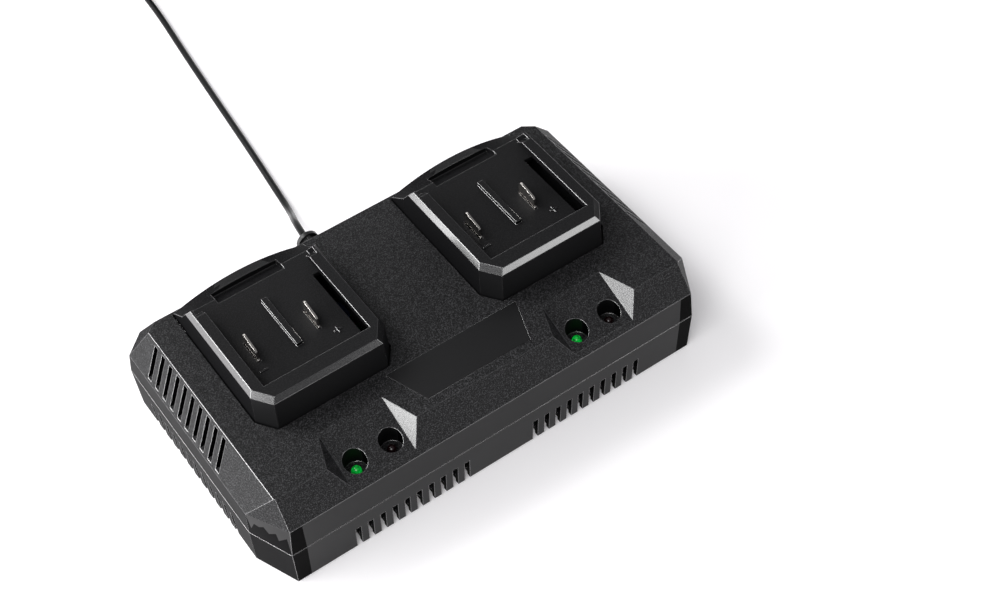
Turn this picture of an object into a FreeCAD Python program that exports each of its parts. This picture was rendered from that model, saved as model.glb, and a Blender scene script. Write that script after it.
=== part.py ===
import FreeCAD, Part
import math
import os
import Sketcher

# Twin-dock battery charger: a low black moulded body with two raised docks for slide-on packs.
# Millimetres. X runs along the long side, Y from the front to the rear, Z up.
# The origin is on the floor, in the middle of the body's footprint.

doc = FreeCAD.newDocument("twin_dock_charger")
sheet = doc.addObject("Spreadsheet::Sheet", "sizes")


# A size is known both as a number and as the expression that ties it to the sheet

def as_size(value):
    if isinstance(value, Size):
        return value
    return Size(float(value), "%.6g" % value)


class Size:
    def __init__(self, number, text):
        self.number = number
        self.text = text

    def __add__(self, other):
        other = as_size(other)
        return Size(self.number + other.number, "(%s + %s)" % (self.text, other.text))

    def __sub__(self, other):
        other = as_size(other)
        return Size(self.number - other.number, "(%s - %s)" % (self.text, other.text))

    def __mul__(self, other):
        other = as_size(other)
        return Size(self.number * other.number, "(%s * %s)" % (self.text, other.text))

    def __truediv__(self, other):
        other = as_size(other)
        return Size(self.number / other.number, "(%s / %s)" % (self.text, other.text))

    def __rsub__(self, other):
        return as_size(other) - self

    def __neg__(self):
        return as_size(-1) * self

    __radd__ = __add__
    __rmul__ = __mul__


class SizeTable:
    pass


size = SizeTable()

# Driving dimensions: alias, value, meaning
DRIVING = [
    ("body_width", 260.0, "long side of the body at the seam"),
    ("body_depth", 149.0, "front face to rear face at the seam"),
    ("body_height", 59.5, "flat top face above the floor"),
    ("seam_level", 26.5, "line where the two shells meet"),
    ("shoulder_level", 45.3, "lower edge of the bevels round the top"),
    ("bevel_side", 11.5, "how far the side bevels lean in"),
    ("bevel_front", 10.6, "how far the front and rear bevels lean in"),
    ("seam_cut_x", 9.8, "corner cut at the seam, along the long side"),
    ("seam_cut_y", 23.7, "corner cut at the seam, along the short side"),
    ("shoulder_cut_x", 11.4, "corner cut at the shoulder, along the long side"),
    ("shoulder_cut_y", 21.3, "corner cut at the shoulder, along the short side"),
    ("seam_cut_rear", 4.0, "rear corner cut at the seam, both ways"),
    ("shoulder_cut_rear", 10.3, "rear corner cut at the shoulder, along the short side"),
    ("seam_line", 0.4, "shadow line at the upper shell's lower edge"),
    ("top_cut_front", 0.6, "blunt front corners of the top face"),
    ("top_cut_rear_x", 6.0, "rear corner cut of the top face, along the long side"),
    ("top_cut_rear_y", 4.5, "rear corner cut of the top face, along the short side"),
    ("foot_draft_side", 0.6, "lower shell's draft on the sides"),
    ("foot_draft_front", 1.9, "lower shell's draft on the front and rear"),
    ("wall", 2.4, "shell wall"),
    ("skirt_lift", 0.6, "skirt's lower edge above the floor"),
    ("skirt_depth", 2.4, "underside plate above the skirt's edge"),
    ("plate", 2.4, "underside plate thickness"),
    ("dock_offset", 65.0, "dock centre from the middle of the body"),
    ("dock_width", 76.0, "dock collar, outside"),
    ("dock_front", 44.4, "dock collar's front from the body's front face"),
    ("dock_rear", 124.0, "dock collar's rear foot from the front face"),
    ("wall_rear", 116.6, "rear end of the dock walls' level top from the front face"),
    ("rail_rear", 111.5, "rear end of the rails' level top from the front face"),
    ("apron_rear", 136.4, "rear edge of the dock's low apron from the front face"),
    ("apron_rise", 7.5, "crown of the apron's rear edge above the top face"),
    ("apron_end_rise", 0.8, "ends of the apron's rear edge above the top face"),
    ("dock_cut_x", 7.0, "dock's front corner cut, across"),
    ("dock_cut_y", 10.0, "dock's front corner cut, front to rear"),
    ("dock_taper", 0.8, "dock wall's draft up to the rim"),
    ("rim_level", 76.5, "foot of the dock's rim chamfer above the floor"),
    ("dock_top", 79.5, "dock's rim above the floor"),
    ("rim_chamfer", 1.9, "rim chamfer's width in plan"),
    ("opening_width", 59.0, "clear width between the two rails"),
    ("opening_front", 55.4, "front end of the dock's opening from the front face"),
    ("rail_under", 76.0, "underside of the rails above the floor"),
    ("groove_width", 68.0, "width across both rail grooves"),
    ("floor_width", 56.0, "width of the dock's inner floor"),
    ("dock_floor", 70.0, "dock's inner floor above the floor"),
    ("dock_skin", 2.4, "dock's floor plate and walls"),
    ("dock_hollow_rear", 118.0, "rear end of the space inside the dock from the front face"),
    ("slit_front", 57.0, "front end of the open slots beside the floor from the front face"),
    ("slit_rear", 108.0, "rear end of the open slots beside the floor from the front face"),
    ("dock_base", 54.6, "underside of the dock's moulding above the floor"),
    ("flange_out", 2.0, "dock flange under the top face, past the collar"),
    ("flange_thick", 2.3, "dock flange thickness"),
    ("insert_gap", 0.5, "gap round the dock in its hole"),
    ("rib_front", 73.5, "centre rib's front end from the front face"),
    ("rib_rear", 108.3, "centre rib's rear end from the front face"),
    ("rib_width", 3.2, "centre rib's thickness"),
    ("rib_height", 2.0, "centre rib above the dock's floor"),
    ("latch_width", 37.8, "latch recess, across"),
    ("latch_front", 120.6, "latch recess's front edge from the front face"),
    ("latch_rear", 130.0, "latch recess's rear wall from the front face"),
    ("latch_depth", 5.0, "latch recess's deepest line below the dock's floor"),
    ("minus_offset", -21.0, "minus blade from the dock's centre"),
    ("plus_offset", 13.0, "plus blade from the dock's centre"),
    ("blade_thick", 1.2, "contact blade's thickness"),
    ("blade_front", 76.8, "contact blade's front edge from the front face"),
    ("blade_length", 14.2, "contact blade, front to rear"),
    ("blade_rise", 8.4, "contact blade above the dock's floor"),
    ("blade_gap", 0.3, "clearance round a blade in the dock's floor"),
    ("block_height", 8.6, "terminal block's height"),
    ("block_side", 6.0, "terminal block past its blades, across"),
    ("block_end", 4.0, "terminal block past its blades, front to rear"),
    ("recess_half", 18.0, "half the lamp recess's floor, across"),
    ("recess_rear", 30.3, "rear end of the lamp recess from the front face"),
    ("recess_lip", 2.4, "front end of the lamp recess from the front face"),
    ("recess_drop", 11.0, "lamp recess's fall from its rear end to its front end"),
    ("recess_flare", 0.9, "lamp recess's side slope, across for each mm up"),
    ("lamp_offset", 10.0, "lamp well from the recess's centre"),
    ("lamp_front", 11.6, "lamp well's centre from the front face"),
    ("well_bore", 12.0, "lamp well, inside"),
    ("well_floor", 43.4, "floor of the lamp wells above the floor"),
    ("lamp_bore", 5.0, "lamp's lens diameter"),
    ("lamp_rise", 3.4, "lamp's dome above the well's floor"),
    ("lamp_gap", 0.2, "clearance round the lamp in its hole"),
    ("lamp_board_gap", 4.6, "lamp board's top below the well's floor"),
    ("name_rear", 40.0, "label plate's rear edge from the front face"),
    ("name_front", 16.2, "label plate's front edge from the front face"),
    ("name_wide", 76.6, "label plate's rear edge length"),
    ("name_narrow", 60.0, "label plate's front edge length"),
    ("name_thick", 1.0, "label plate's thickness"),
    ("name_gap", 0.15, "gap round the label plate"),
    ("grille_slots", 10, "slanted slots in each side bevel"),
    ("grille_front", 47.9, "foot of the front slanted slot from the front face"),
    ("grille_pitch", 7.58, "slanted slots, pitch"),
    ("grille_slot", 3.4, "slanted slot's width"),
    ("grille_lean", 6.2, "slanted slot's lean to the rear"),
    ("grille_margin", 1.1, "bevel left above and below a slanted slot"),
    ("vent_slot", 3.0, "lower slot's width"),
    ("vent_top", 16.3, "top of the lower slots above the floor"),
    ("vent_depth", 7.0, "how far the lower slots cut into the plate"),
    ("front_vents", 10, "lower slots in each front group"),
    ("front_vent_start", 19.4, "first front slot's edge from the middle"),
    ("front_vent_pitch", 7.05, "front slots, pitch"),
    ("side_vents", 12, "lower slots in each side"),
    ("side_vent_start", 43.0, "first side slot from the front face"),
    ("side_vent_pitch", 7.45, "side slots, pitch"),
    ("post_x", 110.0, "outer screw posts from the middle"),
    ("post_front", 23.0, "front screw posts from the front face"),
    ("post_rear", 126.0, "rear screw posts from the front face"),
    ("mid_post_front", 18.0, "middle front screw post from the front face"),
    ("mid_post_rear", 131.0, "middle rear screw post from the front face"),
    ("post_outer", 8.4, "screw post's diameter"),
    ("screw_bore", 3.0, "housing screw's shank"),
    ("screw_head", 5.6, "housing screw's head"),
    ("screw_gap", 0.2, "clearance round a screw's shank"),
    ("screw_bite", 9.0, "housing screw's bite in the upper post"),
    ("board_length", 196.0, "main board, along X"),
    ("board_depth", 92.0, "main board, along Y"),
    ("board_front", 28.0, "main board's front edge from the front face"),
    ("board_level", 11.4, "main board's underside above the floor"),
    ("board_thick", 1.6, "main board's thickness"),
    ("board_post_in", 6.0, "board screws in from the board's edges"),
    ("keyhole_pitch", 150.0, "wall keyholes, centre to centre"),
    ("keyhole_head", 9.0, "keyhole's wide end"),
    ("keyhole_neck", 4.6, "keyhole's slot"),
    ("keyhole_run", 9.0, "keyhole, wide end's centre to slot's end"),
    ("keyhole_front", 88.0, "keyhole's wide end from the front face"),
    ("foot_across", 14.0, "rubber foot's diameter"),
    ("foot_in_x", 30.0, "rubber foot from the body's side"),
    ("foot_in_y", 18.0, "rubber foot from the front or rear face"),
    ("fan_side", 40.0, "fan frame's side"),
    ("fan_thick", 10.0, "fan frame's thickness"),
    ("fan_bore", 37.4, "fan frame's bore"),
    ("fan_face", 117.0, "fan frame's outer face from the middle"),
    ("fan_tip_gap", 0.8, "fan blades' tip clearance"),
    ("fan_hub", 17.0, "fan rotor's hub"),
    ("fan_shaft", 2.4, "fan rotor's shaft"),
    ("fan_shaft_gap", 0.15, "running clearance round the fan's shaft"),
    ("fan_blades", 7, "fan rotor's blades"),
    ("cord_exit_x", -15.2, "cord's exit from the middle"),
    ("cord_exit_level", 36.4, "cord's exit above the floor"),
    ("cord_across", 3.8, "mains cord's diameter"),
    ("bush_flange", 12.6, "strain relief's flange diameter"),
    ("bush_neck", 9.0, "strain relief's neck diameter"),
    ("bush_reach", 10.2, "strain relief's flange face past the rear face"),
    ("bush_tail", 9.0, "strain relief's tapered tail inside the rear wall"),
]
for row, (alias, value, meaning) in enumerate(DRIVING, start=1):
    sheet.set("A%d" % row, meaning)
    sheet.set("B%d" % row, "%g" % value)
    sheet.setAlias("B%d" % row, alias)
    setattr(size, alias, Size(float(value), "sizes." + alias))
doc.recompute()

# Places worked out from the driving dimensions
front = -size.body_depth / 2
rear = size.body_depth / 2
side = size.body_width / 2
plate_under = size.skirt_lift + size.skirt_depth
plate_top = plate_under + size.plate
skin_under = size.body_height - size.wall
board_top = size.board_level + size.board_thick
fan_level = plate_top + 0.3 + size.fan_side / 2
fan_middle = as_size(0.0)
dock_plate_under = size.dock_floor - size.dock_skin
ZERO = as_size(0.0)
BLADES = (("minus", size.minus_offset), ("plus", size.plus_offset))
DOCKS = (("left", -size.dock_offset), ("right", size.dock_offset))


# Lesser sizes and fits that several pieces share
screw_well = as_size(13.0)
screw_head_thick = as_size(2.2)
well_rim_height = as_size(12.5)
crease_rise = as_size(0.1)
latch_flat = as_size(1.5)
fan_seat_gap = as_size(0.3)
fan_channel_height = as_size(16.0)
fan_channel_nose = as_size(6.0)
fan_strut = as_size(1.6)
foot_gap = as_size(0.3)
foot_ring_wall = as_size(1.2)
foot_taper = as_size(0.6)
key_front = front + size.keyhole_front - size.keyhole_run / 2
key_box_height = as_size(5.6)
key_box_roof = as_size(2.0)
key_box_wall = as_size(1.8)
key_room = as_size(0.7)
lamp_board_top = size.well_floor - size.lamp_board_gap
lamp_post = as_size(5.0)
lamp_screw = as_size(2.0)
lamp_screw_out = as_size(9.6)
lamp_screw_bite = as_size(4.0)
lamp_board_reach = as_size(12.6)
board_post = as_size(7.0)
board_screw = as_size(2.6)
board_screw_length = as_size(5.6)
board_screw_gap = as_size(0.2)
thread_gap = as_size(0.05)
blade_fit = as_size(0.1)
blade_tail = as_size(4.0)
lead_across = as_size(2.4)
# How far one boss or wall runs into the plate that carries it
root = as_size(0.4)
# How far a cutting tool passes the face that it leaves through
past = as_size(1.0)


# Sketches, each on its own body's origin planes

def new_body(label):
    body = doc.addObject("PartDesign::Body", label)
    body.Label = label
    return body


def flat_sketch(body, name, plane, level):
    """A sketch parallel to one of the body's planes, at a level along the plane's axis."""
    sketch = body.newObject("Sketcher::SketchObject", body.Name + "_" + name)
    support = [f for f in body.Origin.OriginFeatures if f.Role == plane][0]
    sketch.AttachmentSupport = [(support, "")]
    sketch.MapMode = "FlatFace"
    # The XZ plane's normal points to the front, so its levels change sign
    along = -as_size(level) if plane == "XZ_Plane" else as_size(level)
    sketch.AttachmentOffset = FreeCAD.Placement(
        FreeCAD.Vector(0, 0, along.number), FreeCAD.Rotation())
    sketch.setExpression("AttachmentOffset.Base.z", along.text)
    return sketch


def pin(geometry, end, point):
    """Constraints that hold one point of a sketch, with the sizes that drive them."""
    held = []
    for axis, kind in enumerate(("DistanceX", "DistanceY")):
        value = as_size(point[axis])
        if abs(value.number) < 1e-9:
            line = -2 if axis == 0 else -1
            held.append((Sketcher.Constraint("PointOnObject", geometry, end, line), None))
        else:
            drive = Sketcher.Constraint(kind, -1, 1, geometry, end, value.number)
            held.append((drive, value))
    return held


def hold(sketch, held):
    """Adds all constraints in one go, then ties each size to the sheet."""
    first = sketch.ConstraintCount
    sketch.addConstraint([constraint for constraint, value in held])
    for index, (constraint, value) in enumerate(held, start=first):
        if value is not None:
            sketch.setExpression("Constraints[%d]" % index, value.text)


def outline(sketch, points):
    """A closed run of straight lines through points given as sizes."""
    first = sketch.GeometryCount
    count = len(points)
    spots = [FreeCAD.Vector(as_size(x).number, as_size(y).number, 0) for x, y in points]
    sketch.addGeometry(
        [Part.LineSegment(spots[i], spots[(i + 1) % count]) for i in range(count)], False)
    held = []
    for index in range(count):
        following = first + (index + 1) % count
        held.append((Sketcher.Constraint("Coincident", first + index, 2, following, 1), None))
        held.extend(pin(first + index, 1, points[index]))
    hold(sketch, held)
    return sketch


def rectangle(sketch, low_x, low_y, high_x, high_y):
    return outline(sketch, [(low_x, low_y), (high_x, low_y), (high_x, high_y), (low_x, high_y)])


def circle(sketch, x, y, diameter):
    x, y, diameter = as_size(x), as_size(y), as_size(diameter)
    centre = FreeCAD.Vector(x.number, y.number, 0)
    ring = sketch.addGeometry(
        Part.Circle(centre, FreeCAD.Vector(0, 0, 1), diameter.number / 2), False)
    across = (Sketcher.Constraint("Diameter", ring, diameter.number), diameter)
    hold(sketch, pin(ring, 3, (x, y)) + [across])
    return sketch


# Features

def pad(body, sketch, length, reversed_way=False):
    feature = body.newObject("PartDesign::Pad", sketch.Name + "_pad")
    feature.Profile = sketch
    feature.setExpression("Length", as_size(length).text)
    feature.Reversed = reversed_way
    feature.Refine = False
    return feature


def pocket(body, sketch, length, reversed_way=False):
    """Cuts against the sketch's normal, or along it when the way is reversed."""
    feature = body.newObject("PartDesign::Pocket", sketch.Name + "_pocket")
    feature.Profile = sketch
    feature.setExpression("Length", as_size(length).text)
    feature.Reversed = reversed_way
    feature.Refine = False
    return feature


def loft(body, sketches, kind="Additive"):
    feature = body.newObject("PartDesign::%sLoft" % kind, sketches[0].Name + "_loft")
    feature.Profile = sketches[0]
    feature.Sections = sketches[1:]
    feature.Ruled = True
    feature.Refine = False
    return feature


def revolve(body, sketch, kind="Revolution"):
    """Turns a sketch of the XZ or YZ plane round the sketch's own vertical axis."""
    feature = body.newObject("PartDesign::" + kind, sketch.Name + "_turned")
    feature.Profile = sketch
    feature.ReferenceAxis = (sketch, ["V_Axis"])
    feature.Angle = 360.0
    return feature


def primitive(kind, name, spot, **sizes):
    """A Part primitive whose sizes and place are tied to the sheet."""
    solid = doc.addObject("Part::" + kind, name)
    for key, value in sizes.items():
        solid.setExpression(key, as_size(value).text)
    for axis, value in zip("xyz", spot):
        solid.setExpression("Placement.Base." + axis, as_size(value).text)
    return solid


def box(name, low, extent):
    return primitive("Box", name, low, Length=extent[0], Width=extent[1], Height=extent[2])


def rod(name, foot, diameter, height):
    return primitive("Cylinder", name, foot, Radius=as_size(diameter) / 2, Height=height)


def joined(name, solids):
    union = doc.addObject("Part::MultiFuse", name)
    union.Shapes = solids
    return union


def grouped(name, solids):
    group = doc.addObject("Part::Compound", name)
    group.Links = solids
    return group


def cut(name, base, tool):
    difference = doc.addObject("Part::Cut", name)
    difference.Base = base
    difference.Tool = tool
    return difference


# The two shells

def octagon(half_x, half_y, front_cut, rear_cut):
    """The body's outline at one level: a rectangle with its four corners cut."""
    fx, fy = front_cut
    rx, ry = rear_cut
    return [
        (fx - half_x, -half_y), (half_x - fx, -half_y),
        (half_x, fy - half_y), (half_x, half_y - ry),
        (half_x - rx, half_y), (rx - half_x, half_y),
        (-half_x, half_y - ry), (-half_x, fy - half_y),
    ]


def body_section(body, name, level, drawn_in_x, drawn_in_y, cuts):
    sketch = flat_sketch(body, name, "XY_Plane", level)
    return outline(sketch, octagon(side - drawn_in_x, rear - drawn_in_y, *cuts))


# Front and rear corner cuts at the seam, at the shoulder and round the top face
SEAM_CUTS = ((size.seam_cut_x, size.seam_cut_y), (size.seam_cut_rear, size.seam_cut_rear))
SHOULDER_CUTS = ((size.shoulder_cut_x, size.shoulder_cut_y),
                 (size.shoulder_cut_x, size.shoulder_cut_rear))
TOP_CUTS = ((size.top_cut_front, size.top_cut_front), (size.top_cut_rear_x, size.top_cut_rear_y))


def housing_posts():
    """Centres of the six screw posts that hold the two shells together."""
    for x in (-size.post_x, size.post_x):
        for y in (front + size.post_front, front + size.post_rear):
            yield x, y
    yield ZERO, front + size.mid_post_front
    yield ZERO, front + size.mid_post_rear


def recess_line(distance):
    """Level of the lamp recess's floor at a distance behind the front face."""
    slope = size.recess_drop / (size.recess_rear - size.recess_lip)
    return size.body_height - (size.recess_rear - distance) * slope


def recess_section(body, name, centre, distance):
    tall = size.recess_drop + 3
    level = recess_line(distance)
    wide = size.recess_half + tall * size.recess_flare
    sketch = flat_sketch(body, name, "XZ_Plane", front + distance)
    return outline(sketch, [
        (centre - size.recess_half, level), (centre + size.recess_half, level),
        (centre + wide, level + tall), (centre - wide, level + tall)])


def dock_outline(centre, grow, drawn_in, rear_edge):
    """The dock collar in plan: square behind, with its two front corners cut."""
    half = size.dock_width / 2 + grow - drawn_in
    head = front + size.dock_front - grow + drawn_in
    return [
        (centre - half + size.dock_cut_x, head), (centre + half - size.dock_cut_x, head),
        (centre + half, head + size.dock_cut_y), (centre + half, rear_edge),
        (centre - half, rear_edge), (centre - half, head + size.dock_cut_y)]


def name_outline(grow):
    """The label plate in plan: a trapezoid, narrower towards the front."""
    wide = size.name_wide / 2 + grow
    narrow = size.name_narrow / 2 + grow
    return [
        (-narrow, front + size.name_front - grow), (narrow, front + size.name_front - grow),
        (wide, front + size.name_rear + grow), (-wide, front + size.name_rear + grow)]


def make_upper_housing():
    body = new_body("upper_housing")
    shoulder_in = size.wall * math.tan(math.radians(19.6))
    seam = body_section(body, "seam", size.seam_level, 0, 0, SEAM_CUTS)
    shoulder = body_section(body, "shoulder", size.shoulder_level, 0, 0, SHOULDER_CUTS)
    top = body_section(body, "top", size.body_height, size.bevel_side, size.bevel_front, TOP_CUTS)
    base = body_section(body, "bevel_foot", size.shoulder_level, 0, 0, SHOULDER_CUTS)
    loft(body, [seam, shoulder])
    loft(body, [base, top])
    # The hollow keeps the wall's thickness under the bands, the bevels and the top face
    inner_shoulder = size.shoulder_level - shoulder_in
    hollow = [
        body_section(body, "hollow_seam", size.seam_level, size.wall, size.wall, SEAM_CUTS),
        body_section(body, "hollow_shoulder", inner_shoulder, size.wall, size.wall, SHOULDER_CUTS)]
    loft(body, hollow, "Subtractive")
    inner_top_x = size.bevel_side + size.wall * 0.5
    inner_top_y = size.bevel_front + size.wall * 0.5
    hollow = [
        body_section(body, "hollow_foot", inner_shoulder, size.wall, size.wall, SHOULDER_CUTS),
        body_section(body, "hollow_top", skin_under, inner_top_x, inner_top_y, TOP_CUTS)]
    loft(body, hollow, "Subtractive")
    # A shadow line where the upper shell stands on the lower one
    line = body_section(body, "seam_line", size.seam_level, size.seam_line, size.seam_line, SEAM_CUTS)
    outline(line, octagon(side + 2, rear + 2, *SEAM_CUTS))
    pocket(body, line, size.seam_line, True)
    # Thick plastic behind each lamp recess, then the posts down to the seam
    block_half = size.recess_half + size.recess_drop * size.recess_flare
    for name, centre in DOCKS:
        sketch = flat_sketch(body, name + "_lamp_block", "YZ_Plane", centre - block_half)
        back = size.recess_rear + 3
        outline(sketch, [
            (front + back, size.body_height - 0.5),
            (front + size.bevel_front, size.body_height - 0.5),
            (front + 1.4, size.shoulder_level + 1.2),
            (front + 1.4, size.shoulder_level - 1.0),
            (front + size.recess_lip + 1, recess_line(size.recess_lip) - size.wall * 1.1),
            (front + back, recess_line(back) - size.wall * 1.1)])
        pad(body, sketch, 2 * block_half)
    rims = flat_sketch(body, "well_rims", "XY_Plane", size.well_floor - size.wall)
    for x, y in lamp_places():
        circle(rims, x, y, size.well_bore + 2 * size.wall)
    pad(body, rims, well_rim_height)
    posts = flat_sketch(body, "posts", "XY_Plane", size.seam_level)
    bores = flat_sketch(body, "post_bores", "XY_Plane", size.seam_level)
    for x, y in housing_posts():
        circle(posts, x, y, size.post_outer)
        circle(bores, x, y, size.screw_bore)
    pad(body, posts, skin_under - size.seam_level + 0.6)
    pocket(body, bores, size.screw_bite + 2, True)
    posts = flat_sketch(body, "lamp_posts", "XY_Plane", lamp_board_top)
    for x, y in lamp_screw_places():
        circle(posts, x, y, lamp_post)
    pad(body, posts, size.body_height - 8.6 - lamp_board_top)
    bores = flat_sketch(body, "lamp_post_bores", "XY_Plane", lamp_board_top)
    for x, y in lamp_screw_places():
        circle(bores, x, y, lamp_screw + 2 * thread_gap)
    pocket(body, bores, 5.0, True)
    # Wedge-shaped recesses, lamp wells and their small holes
    for name, centre in DOCKS:
        ends = [recess_section(body, name + "_recess_front", centre, ZERO - 3),
                recess_section(body, name + "_recess_rear", centre, size.recess_rear + 2)]
        loft(body, ends, "Subtractive")
    wells = flat_sketch(body, "wells", "XY_Plane", size.body_height)
    holes = flat_sketch(body, "lamp_holes", "XY_Plane", size.body_height)
    for x, y in lamp_places():
        circle(wells, x, y, size.well_bore)
        circle(holes, x, y, size.lamp_bore + 2 * size.lamp_gap)
    pocket(body, wells, size.body_height - size.well_floor)
    pocket(body, holes, size.body_height - size.well_floor + 2 * size.wall)
    # Holes that the docks stand in, and the shallow seat of the label plate
    hole = flat_sketch(body, "dock_holes", "XY_Plane", size.body_height)
    edge = front + size.apron_rear + size.insert_gap
    for name, centre in DOCKS:
        outline(hole, dock_outline(centre, size.insert_gap, ZERO, edge))
    pocket(body, hole, 2 * size.wall)
    seat = flat_sketch(body, "name_seat", "XY_Plane", size.body_height)
    pocket(body, outline(seat, name_outline(size.name_gap)), size.name_thick)
    # Slanted slots through both side bevels
    foot = size.shoulder_level + size.grille_margin
    head = size.body_height - size.grille_margin
    for name, level, way in (("left", -side - 1, True), ("right", side + 1, False)):
        grille = flat_sketch(body, name + "_grille", "YZ_Plane", level)
        for index in range(int(size.grille_slots.number)):
            y = front + size.grille_front + index * size.grille_pitch
            outline(grille, [
                (y, foot), (y + size.grille_slot, foot),
                (y + size.grille_slot + size.grille_lean, head), (y + size.grille_lean, head)])
        pocket(body, grille, size.bevel_side + size.wall + 1, way)
    # The cord's hole through the rear band
    hole = flat_sketch(body, "cord_hole", "XZ_Plane", rear - 2 * size.wall)
    circle(hole, size.cord_exit_x, size.cord_exit_level, size.bush_neck)
    pocket(body, hole, 3 * size.wall)
    return body


def make_lower_housing():
    body = new_body("lower_housing")
    foot = body_section(body, "foot", size.skirt_lift, size.foot_draft_side, size.foot_draft_front,
                        SEAM_CUTS)
    seam = body_section(body, "seam", size.seam_level, 0, 0, SEAM_CUTS)
    loft(body, [foot, seam])
    hollow = [
        body_section(body, "hollow_plate", plate_top, size.wall + size.foot_draft_side,
                     size.wall + size.foot_draft_front, SEAM_CUTS),
        body_section(body, "hollow_seam", size.seam_level, size.wall, size.wall, SEAM_CUTS)]
    loft(body, hollow, "Subtractive")
    under = body_section(body, "underside", size.skirt_lift, size.wall + size.foot_draft_side,
                         size.wall + size.foot_draft_front, SEAM_CUTS)
    pocket(body, under, size.skirt_depth, True)
    # Screw posts up to the seam, board posts, and the fan's two channels
    posts = flat_sketch(body, "posts", "XY_Plane", plate_under)
    wells = flat_sketch(body, "screw_wells", "XY_Plane", plate_under)
    bores = flat_sketch(body, "screw_bores", "XY_Plane", plate_under)
    for x, y in housing_posts():
        circle(posts, x, y, size.post_outer)
        circle(wells, x, y, size.screw_head + 2 * size.screw_gap)
        circle(bores, x, y, size.screw_bore + 2 * size.screw_gap)
    pad(body, posts, size.seam_level - plate_under)
    pocket(body, wells, screw_well, True)
    pocket(body, bores, size.seam_level - plate_under, True)
    posts = flat_sketch(body, "board_posts", "XY_Plane", plate_top - root)
    bores = flat_sketch(body, "board_bores", "XY_Plane", size.board_level)
    for x, y in board_screw_places():
        circle(posts, x, y, board_post)
        circle(bores, x, y, board_screw)
    pad(body, posts, size.board_level - plate_top + root)
    pocket(body, bores, board_screw_length)
    channels = flat_sketch(body, "fan_channels", "XY_Plane", plate_top - root)
    outer = -size.fan_face - fan_seat_gap
    inner = -size.fan_face + size.fan_thick + fan_seat_gap
    for way in (-1, 1):
        edge = fan_middle + way * (size.fan_side / 2 + fan_seat_gap)
        back = edge + way * size.wall
        nose = edge - way * fan_channel_nose
        outline(channels, [
            (outer - size.wall, nose), (outer, nose), (outer, edge), (inner, edge), (inner, nose),
            (inner + size.wall, nose), (inner + size.wall, back), (outer - size.wall, back)])
    pad(body, channels, fan_channel_height)
    # Seats for the rubber feet: shallow rings under the plate
    rings = flat_sketch(body, "foot_rings", "XY_Plane", size.skirt_lift)
    for x, y in foot_places():
        circle(rings, x, y, size.foot_across + 2 * foot_gap + 2 * foot_ring_wall)
        circle(rings, x, y, size.foot_across + 2 * foot_gap)
    pad(body, rings, size.skirt_depth + root)
    # Keyholes for hanging on a wall: a wide end and a narrow slot, with a box over each inside
    keys = flat_sketch(body, "key_boxes", "XY_Plane", plate_top - root)
    spaces = flat_sketch(body, "key_spaces", "XY_Plane", plate_top)
    inner = size.keyhole_head / 2 + key_room
    neck_end = size.keyhole_neck / 2 + key_room
    for sketch, reach in ((keys, key_box_wall), (spaces, ZERO)):
        for x in (-size.keyhole_pitch / 2, size.keyhole_pitch / 2):
            rectangle(sketch, x - inner - reach, key_front - inner - reach,
                      x + inner + reach, key_front + size.keyhole_run + neck_end + reach)
    pad(body, keys, key_box_height)
    pocket(body, spaces, key_box_height - key_box_roof, True)
    heads = flat_sketch(body, "key_heads", "XY_Plane", plate_top + 0.5)
    for x in (-size.keyhole_pitch / 2, size.keyhole_pitch / 2):
        circle(heads, x, key_front, size.keyhole_head)
    pocket(body, heads, size.plate + 1)
    necks = flat_sketch(body, "key_necks", "XY_Plane", plate_top + 0.5)
    for x in (-size.keyhole_pitch / 2, size.keyhole_pitch / 2):
        rectangle(necks, x - size.keyhole_neck / 2, key_front,
                  x + size.keyhole_neck / 2, key_front + size.keyhole_run)
    pocket(body, necks, size.plate + 1)
    # Open-footed slots along the front and both sides
    vents = flat_sketch(body, "front_vents", "XZ_Plane", front - 1)
    for way in (-1, 1):
        for index in range(int(size.front_vents.number)):
            near = way * (size.front_vent_start + index * size.front_vent_pitch)
            far = near + way * size.vent_slot
            rectangle(vents, near, ZERO - 0.5, far, size.vent_top)
    pocket(body, vents, size.vent_depth + 1)
    for name, level, way in (("left", -side - 1, True), ("right", side + 1, False)):
        vents = flat_sketch(body, name + "_vents", "YZ_Plane", level)
        for index in range(int(size.side_vents.number)):
            y = front + size.side_vent_start + index * size.side_vent_pitch
            rectangle(vents, y, ZERO - 0.5, y + size.vent_slot, size.vent_top)
        pocket(body, vents, size.vent_depth + 1, way)
    return body


def lamp_places():
    """Centres of the four lamp wells, two for each dock."""
    for name, centre in DOCKS:
        for way in (-1, 1):
            yield centre + way * size.lamp_offset, front + size.lamp_front


def lamp_screw_places():
    for name, centre in DOCKS:
        for way in (-1, 1):
            yield centre + way * (size.lamp_offset + lamp_screw_out), front + size.lamp_front


def board_screw_places():
    x = size.board_length / 2 - size.board_post_in
    near = front + size.board_front + size.board_post_in
    far = front + size.board_front + size.board_depth - size.board_post_in
    return [(-x, near), (x, near), (-x, far), (x, far)]


def foot_places():
    x = side - size.foot_in_x
    y = rear - size.foot_in_y
    return [(-x, -y), (x, -y), (-x, y), (x, y)]


# The docks

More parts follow.
